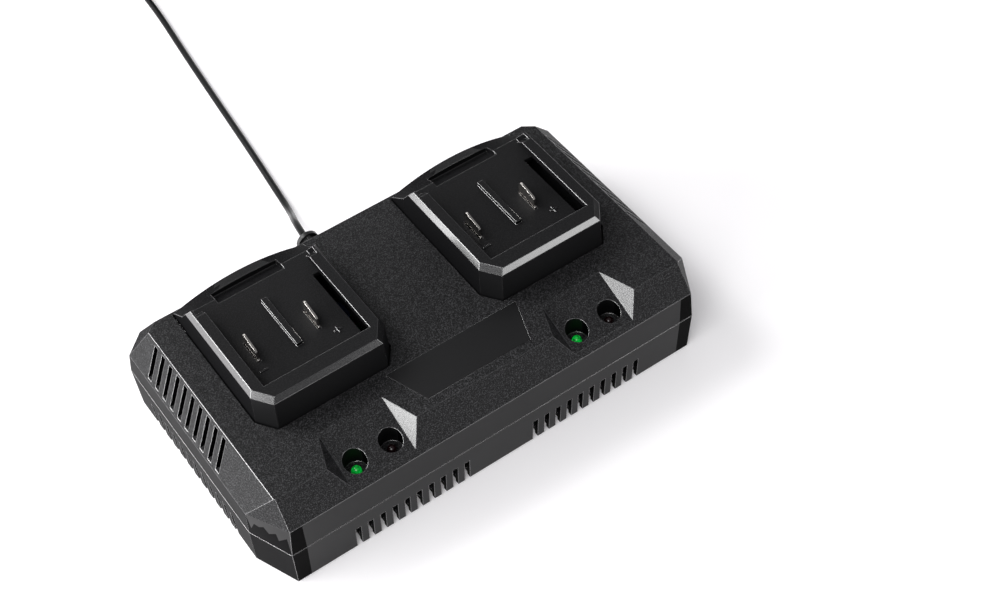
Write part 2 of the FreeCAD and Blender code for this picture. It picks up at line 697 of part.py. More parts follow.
def make_dock(name, centre):
    """A hollow collar with two inward rails, open behind, and a low arched apron."""
    body = new_body(name + "_dock")
    crease = front + size.dock_rear
    edge = front + size.apron_rear
    rim_in = size.dock_taper + size.rim_chamfer
    foot = flat_sketch(body, "foot", "XY_Plane", size.dock_base)
    rim = flat_sketch(body, "rim", "XY_Plane", size.rim_level)
    rim_foot = flat_sketch(body, "rim_foot", "XY_Plane", size.rim_level)
    top = flat_sketch(body, "top", "XY_Plane", size.dock_top)
    outline(foot, dock_outline(centre, ZERO, ZERO, crease))
    outline(rim, dock_outline(centre, ZERO, size.dock_taper, crease))
    outline(rim_foot, dock_outline(centre, ZERO, size.dock_taper, crease))
    outline(top, dock_outline(centre, ZERO, rim_in, crease))
    loft(body, [foot, rim])
    loft(body, [rim_foot, top])
    # The apron falls from a level crease to an arched rear edge
    half = size.dock_width / 2 - size.dock_taper / 2
    level_end = flat_sketch(body, "apron_crease", "XZ_Plane", crease)
    arched_section(level_end, centre, half, size.dock_floor - crease_rise, size.dock_floor)
    arched_end = flat_sketch(body, "apron_edge", "XZ_Plane", edge)
    arched_section(arched_end, centre, half, size.body_height + size.apron_end_rise,
                   size.body_height + size.apron_rise)
    loft(body, [level_end, arched_end])
    # A flange under the shell's top face
    flange = flat_sketch(body, "flange", "XY_Plane", size.dock_base)
    half = size.dock_width / 2 + size.flange_out
    rectangle(flange, centre - half, front + size.dock_front - size.flange_out, centre + half, edge)
    pad(body, flange, size.flange_thick)
    # Behind, the rails slope down to the crease first, and the walls outside them after
    above = size.dock_top + 1
    groove = size.groove_width / 2
    for part, start, reach in (("wall", size.wall_rear, half + 1), ("rail", size.rail_rear, groove)):
        slope = flat_sketch(body, part + "_slope", "YZ_Plane", centre - reach)
        outline(slope, [
            (front + start, above), (front + start, size.dock_top), (crease, size.dock_floor),
            (crease + 1, size.dock_floor + 1), (crease + 1, above)])
        pocket(body, slope, 2 * reach, True)
    # The opening between the rails, and the rails' grooves
    half = size.opening_width / 2
    opening = flat_sketch(body, "opening", "YZ_Plane", centre - half)
    outline(opening, [
        (front + size.opening_front, above), (front + size.opening_front, size.dock_floor),
        (crease, size.dock_floor), (crease + 1, size.dock_floor + 1), (crease + 1, above)])
    pocket(body, opening, size.opening_width, True)
    grooves = flat_sketch(body, "rail_grooves", "XZ_Plane", front + size.slit_front)
    rectangle(grooves, centre - groove, size.dock_floor, centre + groove, size.rail_under)
    pocket(body, grooves, size.dock_rear - size.slit_front + 1)
    # The hollow under the floor plate, open below, and the open slots beside the floor
    hollow = flat_sketch(body, "hollow", "XY_Plane", size.dock_base)
    inset = -size.dock_skin - size.dock_taper / 2
    outline(hollow, dock_outline(centre, inset, ZERO, front + size.dock_hollow_rear))
    pocket(body, hollow, dock_plate_under - size.dock_base, True)
    slits = flat_sketch(body, "rail_slits", "XY_Plane", size.dock_floor)
    for way in (-1, 1):
        rectangle(slits, centre + way * size.floor_width / 2, front + size.slit_front,
                  centre + way * groove, front + size.slit_rear)
    pocket(body, slits, size.dock_skin + 1)
    # Latch recess, centre rib and the slits that the contact blades stand in
    latch = flat_sketch(body, "latch", "YZ_Plane", centre - size.latch_width / 2)
    bottom = size.dock_floor - size.latch_depth
    outline(latch, [
        (front + size.latch_front, above), (front + size.latch_front, size.dock_floor),
        (front + size.latch_rear - latch_flat, bottom), (front + size.latch_rear, bottom),
        (front + size.latch_rear, above)])
    pocket(body, latch, size.latch_width, True)
    rib = flat_sketch(body, "centre_rib", "XY_Plane", dock_plate_under)
    rectangle(rib, centre - size.rib_width / 2, front + size.rib_front,
              centre + size.rib_width / 2, front + size.rib_rear)
    pad(body, rib, size.rib_height + size.dock_skin)
    slots = flat_sketch(body, "blade_slots", "XY_Plane", size.dock_floor)
    for sign, offset in BLADES:
        wide = size.blade_thick / 2 + size.blade_gap
        rectangle(slots, centre + offset - wide, front + size.blade_front - size.blade_gap,
                  centre + offset + wide,
                  front + size.blade_front + size.blade_length + size.blade_gap)
    pocket(body, slots, size.dock_skin + 1)
    return body


def arched_section(sketch, centre, half, low, crown):
    """The apron's section: from the dock's underside up to an arc that rises to a crown."""
    rise = crown - low
    radius = (half * half + rise * rise) / (2 * rise)
    foot = size.dock_base
    ends = [(centre - half, low), (centre + half, low), (centre + half, foot), (centre - half, foot)]
    spots = [FreeCAD.Vector(x.number, y.number, 0) for x, y in ends]
    middle = FreeCAD.Vector(as_size(centre).number, crown.number, 0)
    sketch.addGeometry([
        Part.ArcOfCircle(Part.Circle(middle - FreeCAD.Vector(0, radius.number, 0),
                                     FreeCAD.Vector(0, 0, 1), radius.number),
                         math.pi / 2 - math.asin(half.number / radius.number),
                         math.pi / 2 + math.asin(half.number / radius.number)),
        Part.LineSegment(spots[1], spots[2]),
        Part.LineSegment(spots[2], spots[3]),
        Part.LineSegment(spots[3], spots[0])], False)
    joints = [((0, 1), (1, 1)), ((1, 2), (2, 1)), ((2, 2), (3, 1)), ((3, 2), (0, 2))]
    held = [(Sketcher.Constraint("Coincident", *a, *b), None) for a, b in joints]
    for line, corner in ((1, ends[1]), (2, ends[2]), (3, ends[3])):
        held.extend(pin(line, 1, corner))
    held.extend(pin(3, 2, ends[0]))
    held.append((Sketcher.Constraint("Radius", 0, radius.number), radius))
    hold(sketch, held)


def make_terminals(name, centre):
    """The block under a dock's floor, its two contact blades and the leads to the board."""
    under = dock_plate_under - size.block_height
    low_x = centre + size.minus_offset - size.block_side
    low_y = front + size.blade_front - size.block_end
    block = box(name + "_block_blank", (low_x, low_y, under),
                (size.plus_offset - size.minus_offset + 2 * size.block_side,
                 size.blade_length + 2 * size.block_end, size.block_height))
    slots = []
    leads = []
    for sign, offset in BLADES:
        x = centre + offset
        half = size.blade_thick / 2 + blade_fit
        slots.append(box("%s_%s_block_slot" % (name, sign),
                         (x - half, front + size.blade_front - blade_fit, under - 1),
                         (2 * half, size.blade_length + 2 * blade_fit, size.block_height + 2)))
        make_blade("%s_%s_blade" % (name, sign), x, under - blade_tail)
        leads.append(rod("%s_%s_lead" % (name, sign),
                         (x, front + size.blade_front + size.blade_length / 2, board_top),
                         lead_across, under - blade_tail - board_top))
    cut(name + "_terminal_block", block, joined(name + "_block_slots", slots))
    grouped(name + "_charge_leads", leads)


def make_blade(name, x, tail_level):
    """A flat contact: high and rounded behind, falling a little towards its front edge."""
    body = new_body(name)
    sketch = flat_sketch(body, "profile", "YZ_Plane", x - size.blade_thick / 2)
    near = front + size.blade_front
    far = near + size.blade_length
    top = size.dock_floor + size.blade_rise
    block_under = dock_plate_under - size.block_height
    outline(sketch, [
        (near, dock_plate_under), (near + 5, block_under), (near + 5, tail_level),
        (far - 5, tail_level), (far - 5, block_under), (far, dock_plate_under),
        (far, top - 3.0), (far - 0.4, top - 1.5), (far - 1.3, top - 0.5), (far - 2.6, top),
        (near + 1.8, top - 1.6), (near + 0.9, top - 2.6), (near + 0.7, size.dock_floor + 0.9),
        (near, size.dock_floor + 0.4)])
    pad(body, sketch, size.blade_thick)
    return body


def make_name_plate():
    body = new_body("name_plate")
    sketch = flat_sketch(body, "outline", "XY_Plane", size.body_height - size.name_thick)
    pad(body, outline(sketch, name_outline(ZERO)), size.name_thick)
    return body


# Lamps, each a domed lens on a short skirt, and the small boards that carry them

def make_lamp(name, x):
    body = new_body(name)
    dome_top = size.well_floor + size.lamp_rise
    sketch = flat_sketch(body, "section", "XZ_Plane", ZERO)
    radius = size.lamp_bore / 2
    base = lamp_board_top
    corners = [(ZERO, base), (radius + 0.4, base), (radius + 0.4, base + 1), (radius, base + 1),
               (radius, dome_top - radius), (ZERO, dome_top)]
    spots = [FreeCAD.Vector(px.number, pz.number, 0) for px, pz in map(pair_of_sizes, corners)]
    crown = Part.Circle(FreeCAD.Vector(0, (dome_top - radius).number, 0),
                        FreeCAD.Vector(0, 0, 1), radius.number)
    lines = [Part.LineSegment(spots[i], spots[i + 1]) for i in range(4)]
    closing = Part.LineSegment(spots[5], spots[0])
    sketch.addGeometry(lines + [Part.ArcOfCircle(crown, 0, math.pi / 2), closing], False)
    held = [(Sketcher.Constraint("Coincident", i, 2, i + 1, 1), None) for i in range(4)]
    held.append((Sketcher.Constraint("Coincident", 4, 2, 5, 1), None))
    held.append((Sketcher.Constraint("Coincident", 5, 2, 0, 1), None))
    for index in range(5):
        held.extend(pin(index, 1, corners[index]))
    held.extend(pin(5, 1, corners[5]))
    held.append((Sketcher.Constraint("Radius", 4, radius.number), radius))
    hold(sketch, held)
    revolve(body, sketch)
    body.setExpression("Placement.Base.x", x.text)
    body.setExpression("Placement.Base.y", (front + size.lamp_front).text)
    return body


def pair_of_sizes(point):
    return as_size(point[0]), as_size(point[1])


def make_lamp_board(name, centre):
    body = new_body(name + "_lamp_board")
    sketch = flat_sketch(body, "outline", "XY_Plane", lamp_board_top - size.board_thick)
    half = size.lamp_offset + lamp_board_reach
    y = front + size.lamp_front
    rectangle(sketch, centre - half, y - 5, centre + half, y + 6)
    for way in (-1, 1):
        circle(sketch, centre + way * (size.lamp_offset + lamp_screw_out), y,
               lamp_screw + 2 * board_screw_gap)
    pad(body, sketch, size.board_thick)
    return body


# Screws share one form: a pan head below or above its seat and a plain shank

def screw(name, x, y, seat, head, head_thick, shank, length, way):
    """A screw whose head seats at a level and whose shank runs up (way 1) or down (-1)."""
    seat = as_size(seat)
    if way > 0:
        parts = [rod(name + "_head", (x, y, seat - head_thick), head, head_thick),
                 rod(name + "_shank", (x, y, seat), shank, length)]
    else:
        parts = [rod(name + "_head", (x, y, seat), head, head_thick),
                 rod(name + "_shank", (x, y, seat - length), shank, length)]
    return joined(name, parts)


def make_screws():
    housing = [
        screw("housing_screw_%d" % index, x, y, plate_under + screw_well, size.screw_head, screw_head_thick,
              size.screw_bore - 2 * thread_gap,
              size.seam_level - plate_under - screw_well + size.screw_bite, 1)
        for index, (x, y) in enumerate(housing_posts())]
    grouped("housing_screws", housing)
    board = [
        screw("board_screw_%d" % index, x, y, board_top, 5.2, 2.0, board_screw - 2 * thread_gap,
              size.board_thick + board_screw_length - 0.6, -1)
        for index, (x, y) in enumerate(board_screw_places())]
    grouped("board_screws", board)
    lamp = [
        screw("lamp_screw_%d" % index, x, y, lamp_board_top - size.board_thick, 4.0, 1.4,
              lamp_screw, size.board_thick + lamp_screw_bite, 1)
        for index, (x, y) in enumerate(lamp_screw_places())]
    grouped("lamp_board_screws", lamp)


# Main board and what stands on it
core_wide = as_size(40.0)
core_deep = as_size(16.0)
core_tall = as_size(32.0)
core_yoke = as_size(6.0)
core_limb = as_size(11.0)
core_window = as_size(9.0)
winding_deep = as_size(32.0)
winding_gap = as_size(0.4)
bulk_x = as_size(-33.0)
bulk_apart = as_size(28.0)
bulk_across = as_size(18.0)
bulk_tall = as_size(28.0)
output_count = 4
output_x = as_size(30.0)
output_pitch = as_size(13.0)
output_back = as_size(34.0)
output_across = as_size(10.0)
output_tall = as_size(20.0)
fin_count = 8
fin_pitch = as_size(6.0)
fin_thick = as_size(1.4)
fin_reach = as_size(10.0)
fin_tall = as_size(24.0)
fin_spine = as_size(2.0)
choke_x = as_size(28.0)
choke_back = as_size(30.0)
choke_across = as_size(22.0)
choke_bore = as_size(10.0)
choke_tall = as_size(8.0)
choke_foot = as_size(6.0)
fuse_x = as_size(-6.0)
fuse_back = as_size(38.0)
fuse_across = as_size(5.0)
fuse_length = as_size(20.0)
clip_wide = as_size(3.0)
clip_deep = as_size(6.0)
clip_tall = as_size(4.0)


def make_main_board():
    body = new_body("main_board")
    sketch = flat_sketch(body, "outline", "XY_Plane", size.board_level)
    half = size.board_length / 2
    near = front + size.board_front
    rectangle(sketch, -half, near, half, near + size.board_depth)
    for x, y in board_screw_places():
        circle(sketch, x, y, board_screw + 2 * board_screw_gap)
    pad(body, sketch, size.board_thick)
    return body


def make_power_parts():
    """Power parts, placed along X from the middle and along Y from the board's own middle."""
    middle = front + size.board_front + size.board_depth / 2
    make_transformer(middle)
    grouped("bulk_capacitors", [
        rod("bulk_can_%d" % index, (bulk_x, middle + way * bulk_apart, board_top), bulk_across, bulk_tall)
        for index, way in enumerate((-1, 1))])
    grouped("output_capacitors", [
        rod("output_can_%d" % index, (output_x + output_pitch * index, middle - output_back, board_top),
            output_across, output_tall)
        for index in range(output_count)])
    # Each heat sink is a spine with a row of fins
    spine_length = (fin_count - 1) * fin_pitch + fin_thick
    for name, low_x in (("primary_heat_sink", -92), ("output_heat_sink", 38)):
        fins = [box("%s_fin_%d" % (name, index), (low_x + fin_pitch * index, middle - 12, board_top),
                    (fin_thick, fin_reach, fin_tall)) for index in range(fin_count)]
        spine = box(name + "_spine", (low_x, middle - 12 - fin_spine, board_top),
                    (spine_length, fin_spine + 0.2, fin_tall))
        joined(name, [spine] + fins)
    choke_spot = (choke_x, middle + choke_back, board_top)
    hole_spot = (choke_x, middle + choke_back, board_top - past)
    ring = cut("choke_ring", rod("choke_core", choke_spot, choke_across, choke_tall),
               rod("choke_hole", hole_spot, choke_bore, choke_tall + 2 * past))
    base = box("choke_base", (choke_x - choke_across / 2, middle + choke_back - choke_foot / 2, board_top),
               (choke_across, choke_foot, choke_foot / 3))
    joined("line_choke", [ring, base])
    box("film_capacitor", (-6, middle + 24, board_top), (18, 9, 15))
    box("bridge_rectifier", (48, middle + 26, board_top), (20, 4, 17))
    # The fuse lies along X in two clips
    fuse = rod("fuse_tube", (ZERO, ZERO, ZERO), fuse_across, fuse_length)
    fuse.Placement.Rotation = FreeCAD.Rotation(FreeCAD.Vector(0, 1, 0), 90)
    fuse.setExpression("Placement.Base.x", fuse_x.text)
    fuse.setExpression("Placement.Base.y", (middle + fuse_back).text)
    fuse.setExpression("Placement.Base.z", (board_top + clip_tall).text)
    clips = [box("fuse_clip_%d" % index,
                 (x, middle + fuse_back - clip_deep / 2, board_top), (clip_wide, clip_deep, clip_tall))
             for index, x in enumerate((fuse_x + 1, fuse_x + fuse_length - clip_wide - 1))]
    joined("mains_fuse", [fuse] + clips)


def make_transformer(middle):
    """A core with two windows, and a wound bobbin on its middle limb."""
    level = board_top + core_yoke
    window_tall = core_tall - 2 * core_yoke
    core = box("core_blank", (-core_wide / 2, middle - core_deep / 2, board_top),
               (core_wide, core_deep, core_tall))
    starts = (-core_limb / 2 - core_window, core_limb / 2)
    windows = [box("core_window_%d" % index, (x, middle - core_deep / 2 - past, level),
                   (core_window, core_deep + 2 * past, window_tall))
               for index, x in enumerate(starts)]
    cut("transformer_core", core, joined("core_windows", windows))
    wound_half = core_limb / 2 + core_window - winding_gap
    spool = box("bobbin_blank", (-wound_half, middle - winding_deep / 2, level + winding_gap),
                (2 * wound_half, winding_deep, window_tall - 2 * winding_gap))
    limb = box("bobbin_limb", (-core_limb / 2, middle - core_deep / 2, level),
               (core_limb, core_deep, window_tall))
    cut("transformer_winding", spool, limb)


# Cooling fan: modelled round the X axis, then stood behind the left grille

def make_fan():
    frame = new_body("fan_frame")
    sketch = flat_sketch(frame, "frame", "YZ_Plane", ZERO)
    half = size.fan_side / 2
    rectangle(sketch, -half, -half, half, half)
    circle(sketch, 0, 0, size.fan_bore)
    for y in (-1, 1):
        for z in (-1, 1):
            circle(sketch, y * (half - 4), z * (half - 4), 3.4)
    pad(frame, sketch, size.fan_thick)
    plate = flat_sketch(frame, "bearing_plate", "YZ_Plane", size.fan_thick - fan_strut)
    circle(plate, 0, 0, size.fan_hub)
    pad(frame, plate, fan_strut)
    struts = flat_sketch(frame, "struts", "YZ_Plane", size.fan_thick - fan_strut)
    reach = size.fan_bore / 2 + 0.6
    near = size.fan_hub / 2 - 1
    rectangle(struts, near, -1.2, reach, 1.2)
    rectangle(struts, -reach, -1.2, -near, 1.2)
    rectangle(struts, -1.2, near, 1.2, reach)
    rectangle(struts, -1.2, -reach, 1.2, -near)
    pad(frame, struts, fan_strut)
    bearing = flat_sketch(frame, "bearing", "YZ_Plane", size.fan_thick + 0.5)
    circle(bearing, 0, 0, size.fan_shaft + 2 * size.fan_shaft_gap)
    pocket(frame, bearing, fan_strut + 1)
    rotor = new_body("fan_rotor")
    hub = flat_sketch(rotor, "hub", "YZ_Plane", 0.8)
    circle(hub, 0, 0, size.fan_hub)
    pad(rotor, hub, size.fan_thick - fan_strut - 1.4)
    shaft = flat_sketch(rotor, "shaft", "YZ_Plane", size.fan_thick / 2)
    circle(shaft, 0, 0, size.fan_shaft)
    pad(rotor, shaft, size.fan_thick / 2 - 0.2)
    tip = size.fan_bore / 2 - size.fan_tip_gap
    sections = []
    for name, level, sweep in (("blade_root", size.fan_hub / 2 - 1.2, 2.6), ("blade_tip", tip, 4.8)):
        section = flat_sketch(rotor, name, "XY_Plane", level)
        foot, head = as_size(1.2), size.fan_thick - fan_strut - 0.8
        outline(section, [(foot, -sweep), (head, sweep - 1.2), (head, sweep), (foot, 1.2 - sweep)])
        sections.append(section)
    blade = loft(rotor, sections)
    ring = rotor.newObject("PartDesign::PolarPattern", "fan_blade_ring")
    ring.Originals = [blade]
    ring.Axis = (hub, ["N_Axis"])
    ring.Angle = 360
    ring.setExpression("Occurrences", size.fan_blades.text)
    rotor.Tip = ring
    for body in (frame, rotor):
        body.setExpression("Placement.Base.x", (-size.fan_face).text)
        body.setExpression("Placement.Base.y", fan_middle.text)
        body.setExpression("Placement.Base.z", fan_level.text)


def make_feet():
    feet = []
    for index, (x, y) in enumerate(foot_places()):
        foot = primitive("Cone", "rubber_foot_%d" % index, (x, y, 0),
                         Radius1=size.foot_across / 2 - foot_taper, Radius2=size.foot_across / 2,
                         Height=plate_under)
        feet.append(foot)
    grouped("rubber_feet", feet)


# Mains cord, from the strain relief to the plug

def make_strain_relief():
    """Turned round the cord's axis: a snap ring inside the wall, a neck and a round flange."""
    body = new_body("strain_relief")
    section = flat_sketch(body, "section", "XZ_Plane", ZERO)
    neck = size.bush_neck / 2 - 0.1
    snap = neck + 1.2
    flange = size.bush_flange / 2
    inside = -size.wall
    face = size.bush_reach
    outline(section, [
        (ZERO, inside - size.bush_tail), (neck - 1.8, inside - size.bush_tail),
        (neck - 0.4, inside - 2.6), (snap, inside - 1.6), (snap, inside),
        (neck, inside), (neck, face - 3.2), (flange, face - 3.2), (flange, face - 1.0),
        (flange - 1.0, face), (ZERO, face)])
    revolve(body, section)
    ribs = flat_sketch(body, "ribs", "XY_Plane", ZERO + 0.02)
    reach = flange - 0.8
    rectangle(ribs, -reach, -0.9, reach, 0.9)
    pad(body, ribs, face - 2.4)
    ribs = flat_sketch(body, "cross_ribs", "XY_Plane", ZERO + 0.02)
    rectangle(ribs, -0.9, -reach, 0.9, reach)
    pad(body, ribs, face - 2.4)
    body.Placement = FreeCAD.Placement(
        FreeCAD.Vector(0, 0, 0), FreeCAD.Rotation(FreeCAD.Vector(1, 0, 0), -90))
    body.setExpression("Placement.Base.x", size.cord_exit_x.text)
    body.setExpression("Placement.Base.y", rear.text)
    body.setExpression("Placement.Base.z", size.cord_exit_level.text)
    return body


def rounded_path(points, label):
    """Straight runs joined by tangent arcs; each arc takes 0.45 of its shorter run."""
    corners = [FreeCAD.Vector(*point) for point in points]
    edges = []
    start = corners[0]
    tightest = 1e9
    for before, corner, after in zip(corners, corners[1:], corners[2:]):
        arriving = (corner - before).normalize()
        leaving = (after - corner).normalize()
        turn = arriving.getAngle(leaving)
        reach = 0.45 * min((corner - before).Length, (after - corner).Length)
        radius = reach / math.tan(turn / 2)
        tightest = min(tightest, radius)
        first = corner - arriving * reach
        last = corner + leaving * reach
        inward = (leaving - arriving).normalize()
        middle = corner + inward * (radius / math.cos(turn / 2) - radius)
        edges.append(Part.LineSegment(start, first).toShape())
        edges.append(Part.Arc(first, middle, last).toShape())
        start = last
    edges.append(Part.LineSegment(start, corners[-1]).toShape())
    print("%s: length %.0f mm, tightest radius %.1f mm" % (
        label, sum(edge.Length for edge in edges), tightest))
    return Part.Wire(edges)


def tube(name, wire, diameter):
    """A solid round tube along a wire, with its volume compared with section times length."""
    first = wire.OrderedEdges[0]
    ring = Part.Circle(first.valueAt(first.FirstParameter),
                       first.tangentAt(first.FirstParameter), diameter / 2)
    solid = wire.makePipeShell([Part.Wire([ring.toShape()])], True, False)
    wanted = math.pi * diameter * diameter / 4 * wire.Length
    if abs(solid.Volume / wanted - 1) > 0.01:
        raise ValueError("%s: volume %.0f, expected %.0f" % (name, solid.Volume, wanted))
    feature = doc.addObject("Part::Feature", name)
    feature.Shape = solid
    return feature


def coil_point(turns):
    """Position on the coil's centre line after a number of turns, winding clockwise."""
    phase = turns / coil_layer_turns
    layer = math.floor(phase)
    part = phase - layer
    inward = part if layer % 2 == 0 else 1 - part
    radius = coil_outer - inward * coil_layer_turns * coil_pitch
    angle = math.pi - 2 * math.pi * turns
    # The climb takes the half turn centred on each reversal
    level = layer
    half = 0.25 / coil_layer_turns
    if layer > 0 and part < half:
        level = layer - 0.5 + part / (2 * half)
    if layer < coil_layers - 1 and part > 1 - half:
        level = layer + (part - 1 + half) / (2 * half)
    return FreeCAD.Vector(coil_middle[0] + radius * math.cos(angle),
                          coil_middle[1] + radius * math.sin(angle),
                          coil_level + level * coil_pitch)


def coil_heading(turns):
    step = 1e-4
    total = coil_layers * coil_layer_turns
    ahead = coil_point(min(turns + step, total - 1e-9))
    behind = coil_point(max(turns - step, 0.0))
    return (ahead - behind).normalize()


def biarc(start, heading, end, last_heading):
    """Two arcs that leave one point along its heading and reach the next along its own."""
    across = end - start
    both = heading + last_heading
    bend = 2 * (1 - heading.dot(last_heading))
    along = across.dot(both)
    if bend < 1e-9:
        reach = across.dot(across) / (4 * across.dot(last_heading))
    else:
        reach = (math.sqrt(along * along + bend * across.dot(across)) - along) / bend
    near = start + heading * reach
    far = end - last_heading * reach
    joint = (near + far) * 0.5
    return [arc_through(start, near, joint), arc_through(joint, far, end)]


def arc_through(start, corner, end):
    """The arc that is tangent to the two equal lines start-corner and corner-end."""
    middle = (start + end) * 0.5
    half = (end - start).Length / 2
    height = (corner - middle).Length
    sagitta = half * math.tan(math.atan2(height, half) / 2)
    return Part.Arc(start, middle + (corner - middle) * (sagitta / height), end).toShape()


def make_coil():
    total = coil_layers * coil_layer_turns
    count = int(round(total * 2))
    stations = [total * index / count for index in range(count + 1)]
    points = [coil_point(min(turns, total - 1e-9)) for turns in stations]
    headings = [coil_heading(turns) for turns in stations]
    headings[0] = FreeCAD.Vector(0, 1, 0)
    headings[-1] = FreeCAD.Vector(0, 1, 0)
    across = size.cord_across.number
    edges = [Part.LineSegment(points[0] - headings[0] * across, points[0]).toShape()]
    for index in range(count):
        edges.extend(biarc(points[index], headings[index], points[index + 1], headings[index + 1]))
    edges.append(Part.LineSegment(points[-1], points[-1] + headings[-1] * across).toShape())
    wire = Part.Wire(edges)
    print("cord_coil: length %.0f mm, least gap to itself %.2f mm" % (
        wire.Length, least_gap(edges, across)))
    tube("cord_coil", wire, across)


def least_gap(edges, across):
    """Least clear distance between two places on a wire more than half a turn apart."""
    spots = []
    travelled = 0.0
    for edge in edges:
        steps = max(2, int(edge.Length / 3))
        for step in range(steps):
            spots.append((travelled + edge.Length * step / steps,
                          edge.valueAt(edge.FirstParameter + (edge.LastParameter
                                       - edge.FirstParameter) * step / steps)))
        travelled += edge.Length
    least = 1e9
    for index, (place, spot) in enumerate(spots):
        for other_place, other in spots[index + 1:]:
            if other_place - place > math.pi * coil_inner:
                least = min(least, spot.distanceToPoint(other))
    return least - across


def make_cord_tie():
    """A band wrapped once round the bundle of turns."""
    body = new_body("cord_tie")
    sketch = flat_sketch(body, "section", "YZ_Plane", coil_middle[0] - tie_width / 2)
    radius = size.cord_across.number / 2
    low_y = coil_middle[1] - coil_outer - radius - 0.3
    high_y = coil_middle[1] - coil_inner + radius + 1.0
    low_z = tie_thick
    high_z = coil_level + (coil_layers - 1) * coil_pitch + radius + 0.3
    for grow in (0, tie_thick):
        corner = 2.0 + grow * 0.6
        a, b, c, d = low_y - grow, high_y + grow, low_z - grow, high_z + grow
        outline(sketch, [(a + corner, c), (b - corner, c), (b, c + corner), (b, d - corner),
                         (b - corner, d), (a + corner, d), (a, d - corner), (a, c + corner)])
    pad(body, sketch, tie_width)


def make_plug():
    """A two-pin plug lying flat, its cord entering at the near end."""
    x, y, z = plug_entry
    body = new_body("plug_body")
    collar = flat_sketch(body, "collar", "XZ_Plane", y)
    circle(collar, x, z, 7.6)
    boot = flat_sketch(body, "boot_end", "XZ_Plane", y + 12)
    circle(boot, x, z, 10.4)
    loft(body, [collar, boot])
    grip = flat_sketch(body, "grip", "XZ_Plane", y + 11.5)
    chamfered_section(grip, x, z, 9.0, 5.8, 2.6)
    waist = flat_sketch(body, "waist", "XZ_Plane", y + 24)
    chamfered_section(waist, x, z, 11.5, 6.4, 2.6)
    loft(body, [grip, waist])
    waist_again = flat_sketch(body, "waist_again", "XZ_Plane", y + 24)
    chamfered_section(waist_again, x, z, 11.5, 6.4, 2.6)
    face = flat_sketch(body, "face", "XZ_Plane", y + plug_length)
    chamfered_section(face, x, z, 13.0, 7.4, 2.6)
    loft(body, [waist_again, face])
    grouped("plug_pins", [
        box("plug_pin_%d" % index, (x + way * 6.35 - 0.75, y + plug_length, z - 3.2), (1.5, 17.0, 6.4))
        for index, way in enumerate((-1, 1))])


def chamfered_section(sketch, x, z, half_wide, half_high, corner):
    a, b = half_wide, half_high
    outline(sketch, [
        (x - a + corner, z - b), (x + a - corner, z - b), (x + a, z - b + corner),
        (x + a, z + b - corner), (x + a - corner, z + b), (x - a + corner, z + b),
        (x - a, z + b - corner), (x - a, z - b + corner)])


def make_mains_leads():
    """The two cores, from the strain relief's inner end down to the board."""
    start = (rear - size.wall - size.bush_tail).number
    level = size.cord_exit_level.number
    landing = start - 26.0
    leads = []
    for index, way in enumerate((-1, 1)):
        x = size.cord_exit_x.number + way * 1.6
        path = rounded_path([(x, start, level), (x, landing, level),
                             (x, landing, board_top.number)], "mains lead %d" % (index + 1))
        leads.append(tube("mains_lead_%d" % index, path, 2.0))
    grouped("mains_leads", leads)


# The put-away coil: four layers of neat turns behind the charger, held by a band
coil_middle = (50.0, 377.5)
coil_outer = 27.3
coil_pitch = 4.35
coil_layers = 4
coil_layer_turns = 2.75
coil_inner = coil_outer - coil_layer_turns * coil_pitch
tie_thick = 1.0
tie_width = 9.0
coil_level = size.cord_across.number / 2 + tie_thick
plug_length = 34.0
plug_entry = (coil_middle[0] - coil_outer, coil_middle[1] + size.cord_across.number + 58.0, 7.4)

# The cord's route: out of the bush, down to the floor and away behind, then up onto the coil
cord_start = (size.cord_exit_x.number, (rear + size.bush_reach).number, size.cord_exit_level.number)
coil_start = (coil_middle[0] - coil_outer, coil_middle[1] - size.cord_across.number, coil_level)
MAINS_CORD_ROUTE = [
    cord_start,
    (-13.6, 96.5, 35.6),
    (-10.2, 108.0, 28.6),
    (-5.8, 119.0, 17.5),
    (-1.8, 130.0, 7.6),
    (1.2, 142.0, 2.3),
    (3.3, 160.0, 1.95),
    (6.5, 188.0, 2.0),
    (9.9, 222.0, 1.95),
    (13.4, 258.0, 2.0),
    (17.3, 296.0, 1.95),
    (21.2, 330.0, 2.1),
    (22.7, 355.0, coil_level),
    coil_start,
]
PLUG_LEAD_ROUTE = [
    (coil_start[0], coil_middle[1] + size.cord_across.number, coil_level + (coil_layers - 1) * coil_pitch),
    (coil_start[0], plug_entry[1] - 43.0, coil_level + (coil_layers - 1) * coil_pitch - 0.3),
    (coil_start[0], plug_entry[1] - 28.0, 12.0),
    (coil_start[0], plug_entry[1] - 13.0, 7.9),
    plug_entry,
]


def make_cord():
    across = size.cord_across.number
    tube("mains_cord", rounded_path(MAINS_CORD_ROUTE, "mains_cord"), across)
    make_coil()
    tube("plug_lead", rounded_path(PLUG_LEAD_ROUTE, "plug_lead"), across)
    make_cord_tie()
    make_plug()


NODES = [
    "upper_housing", "lower_housing", "name_plate", "main_board", "transformer_core",
    "transformer_winding", "bulk_capacitors", "output_capacitors", "primary_heat_sink",
    "output_heat_sink", "line_choke", "film_capacitor", "bridge_rectifier", "mains_fuse",
    "fan_frame", "fan_rotor", "housing_screws", "board_screws", "lamp_board_screws",
    "rubber_feet", "strain_relief", "mains_leads", "mains_cord", "cord_coil", "plug_lead",
    "cord_tie", "plug_body", "plug_pins",
] + [side_name + piece for side_name in ("left", "right") for piece in (
    "_dock", "_terminal_block", "_minus_blade", "_plus_blade", "_charge_leads",
    "_green_lamp", "_red_lamp", "_lamp_board")]


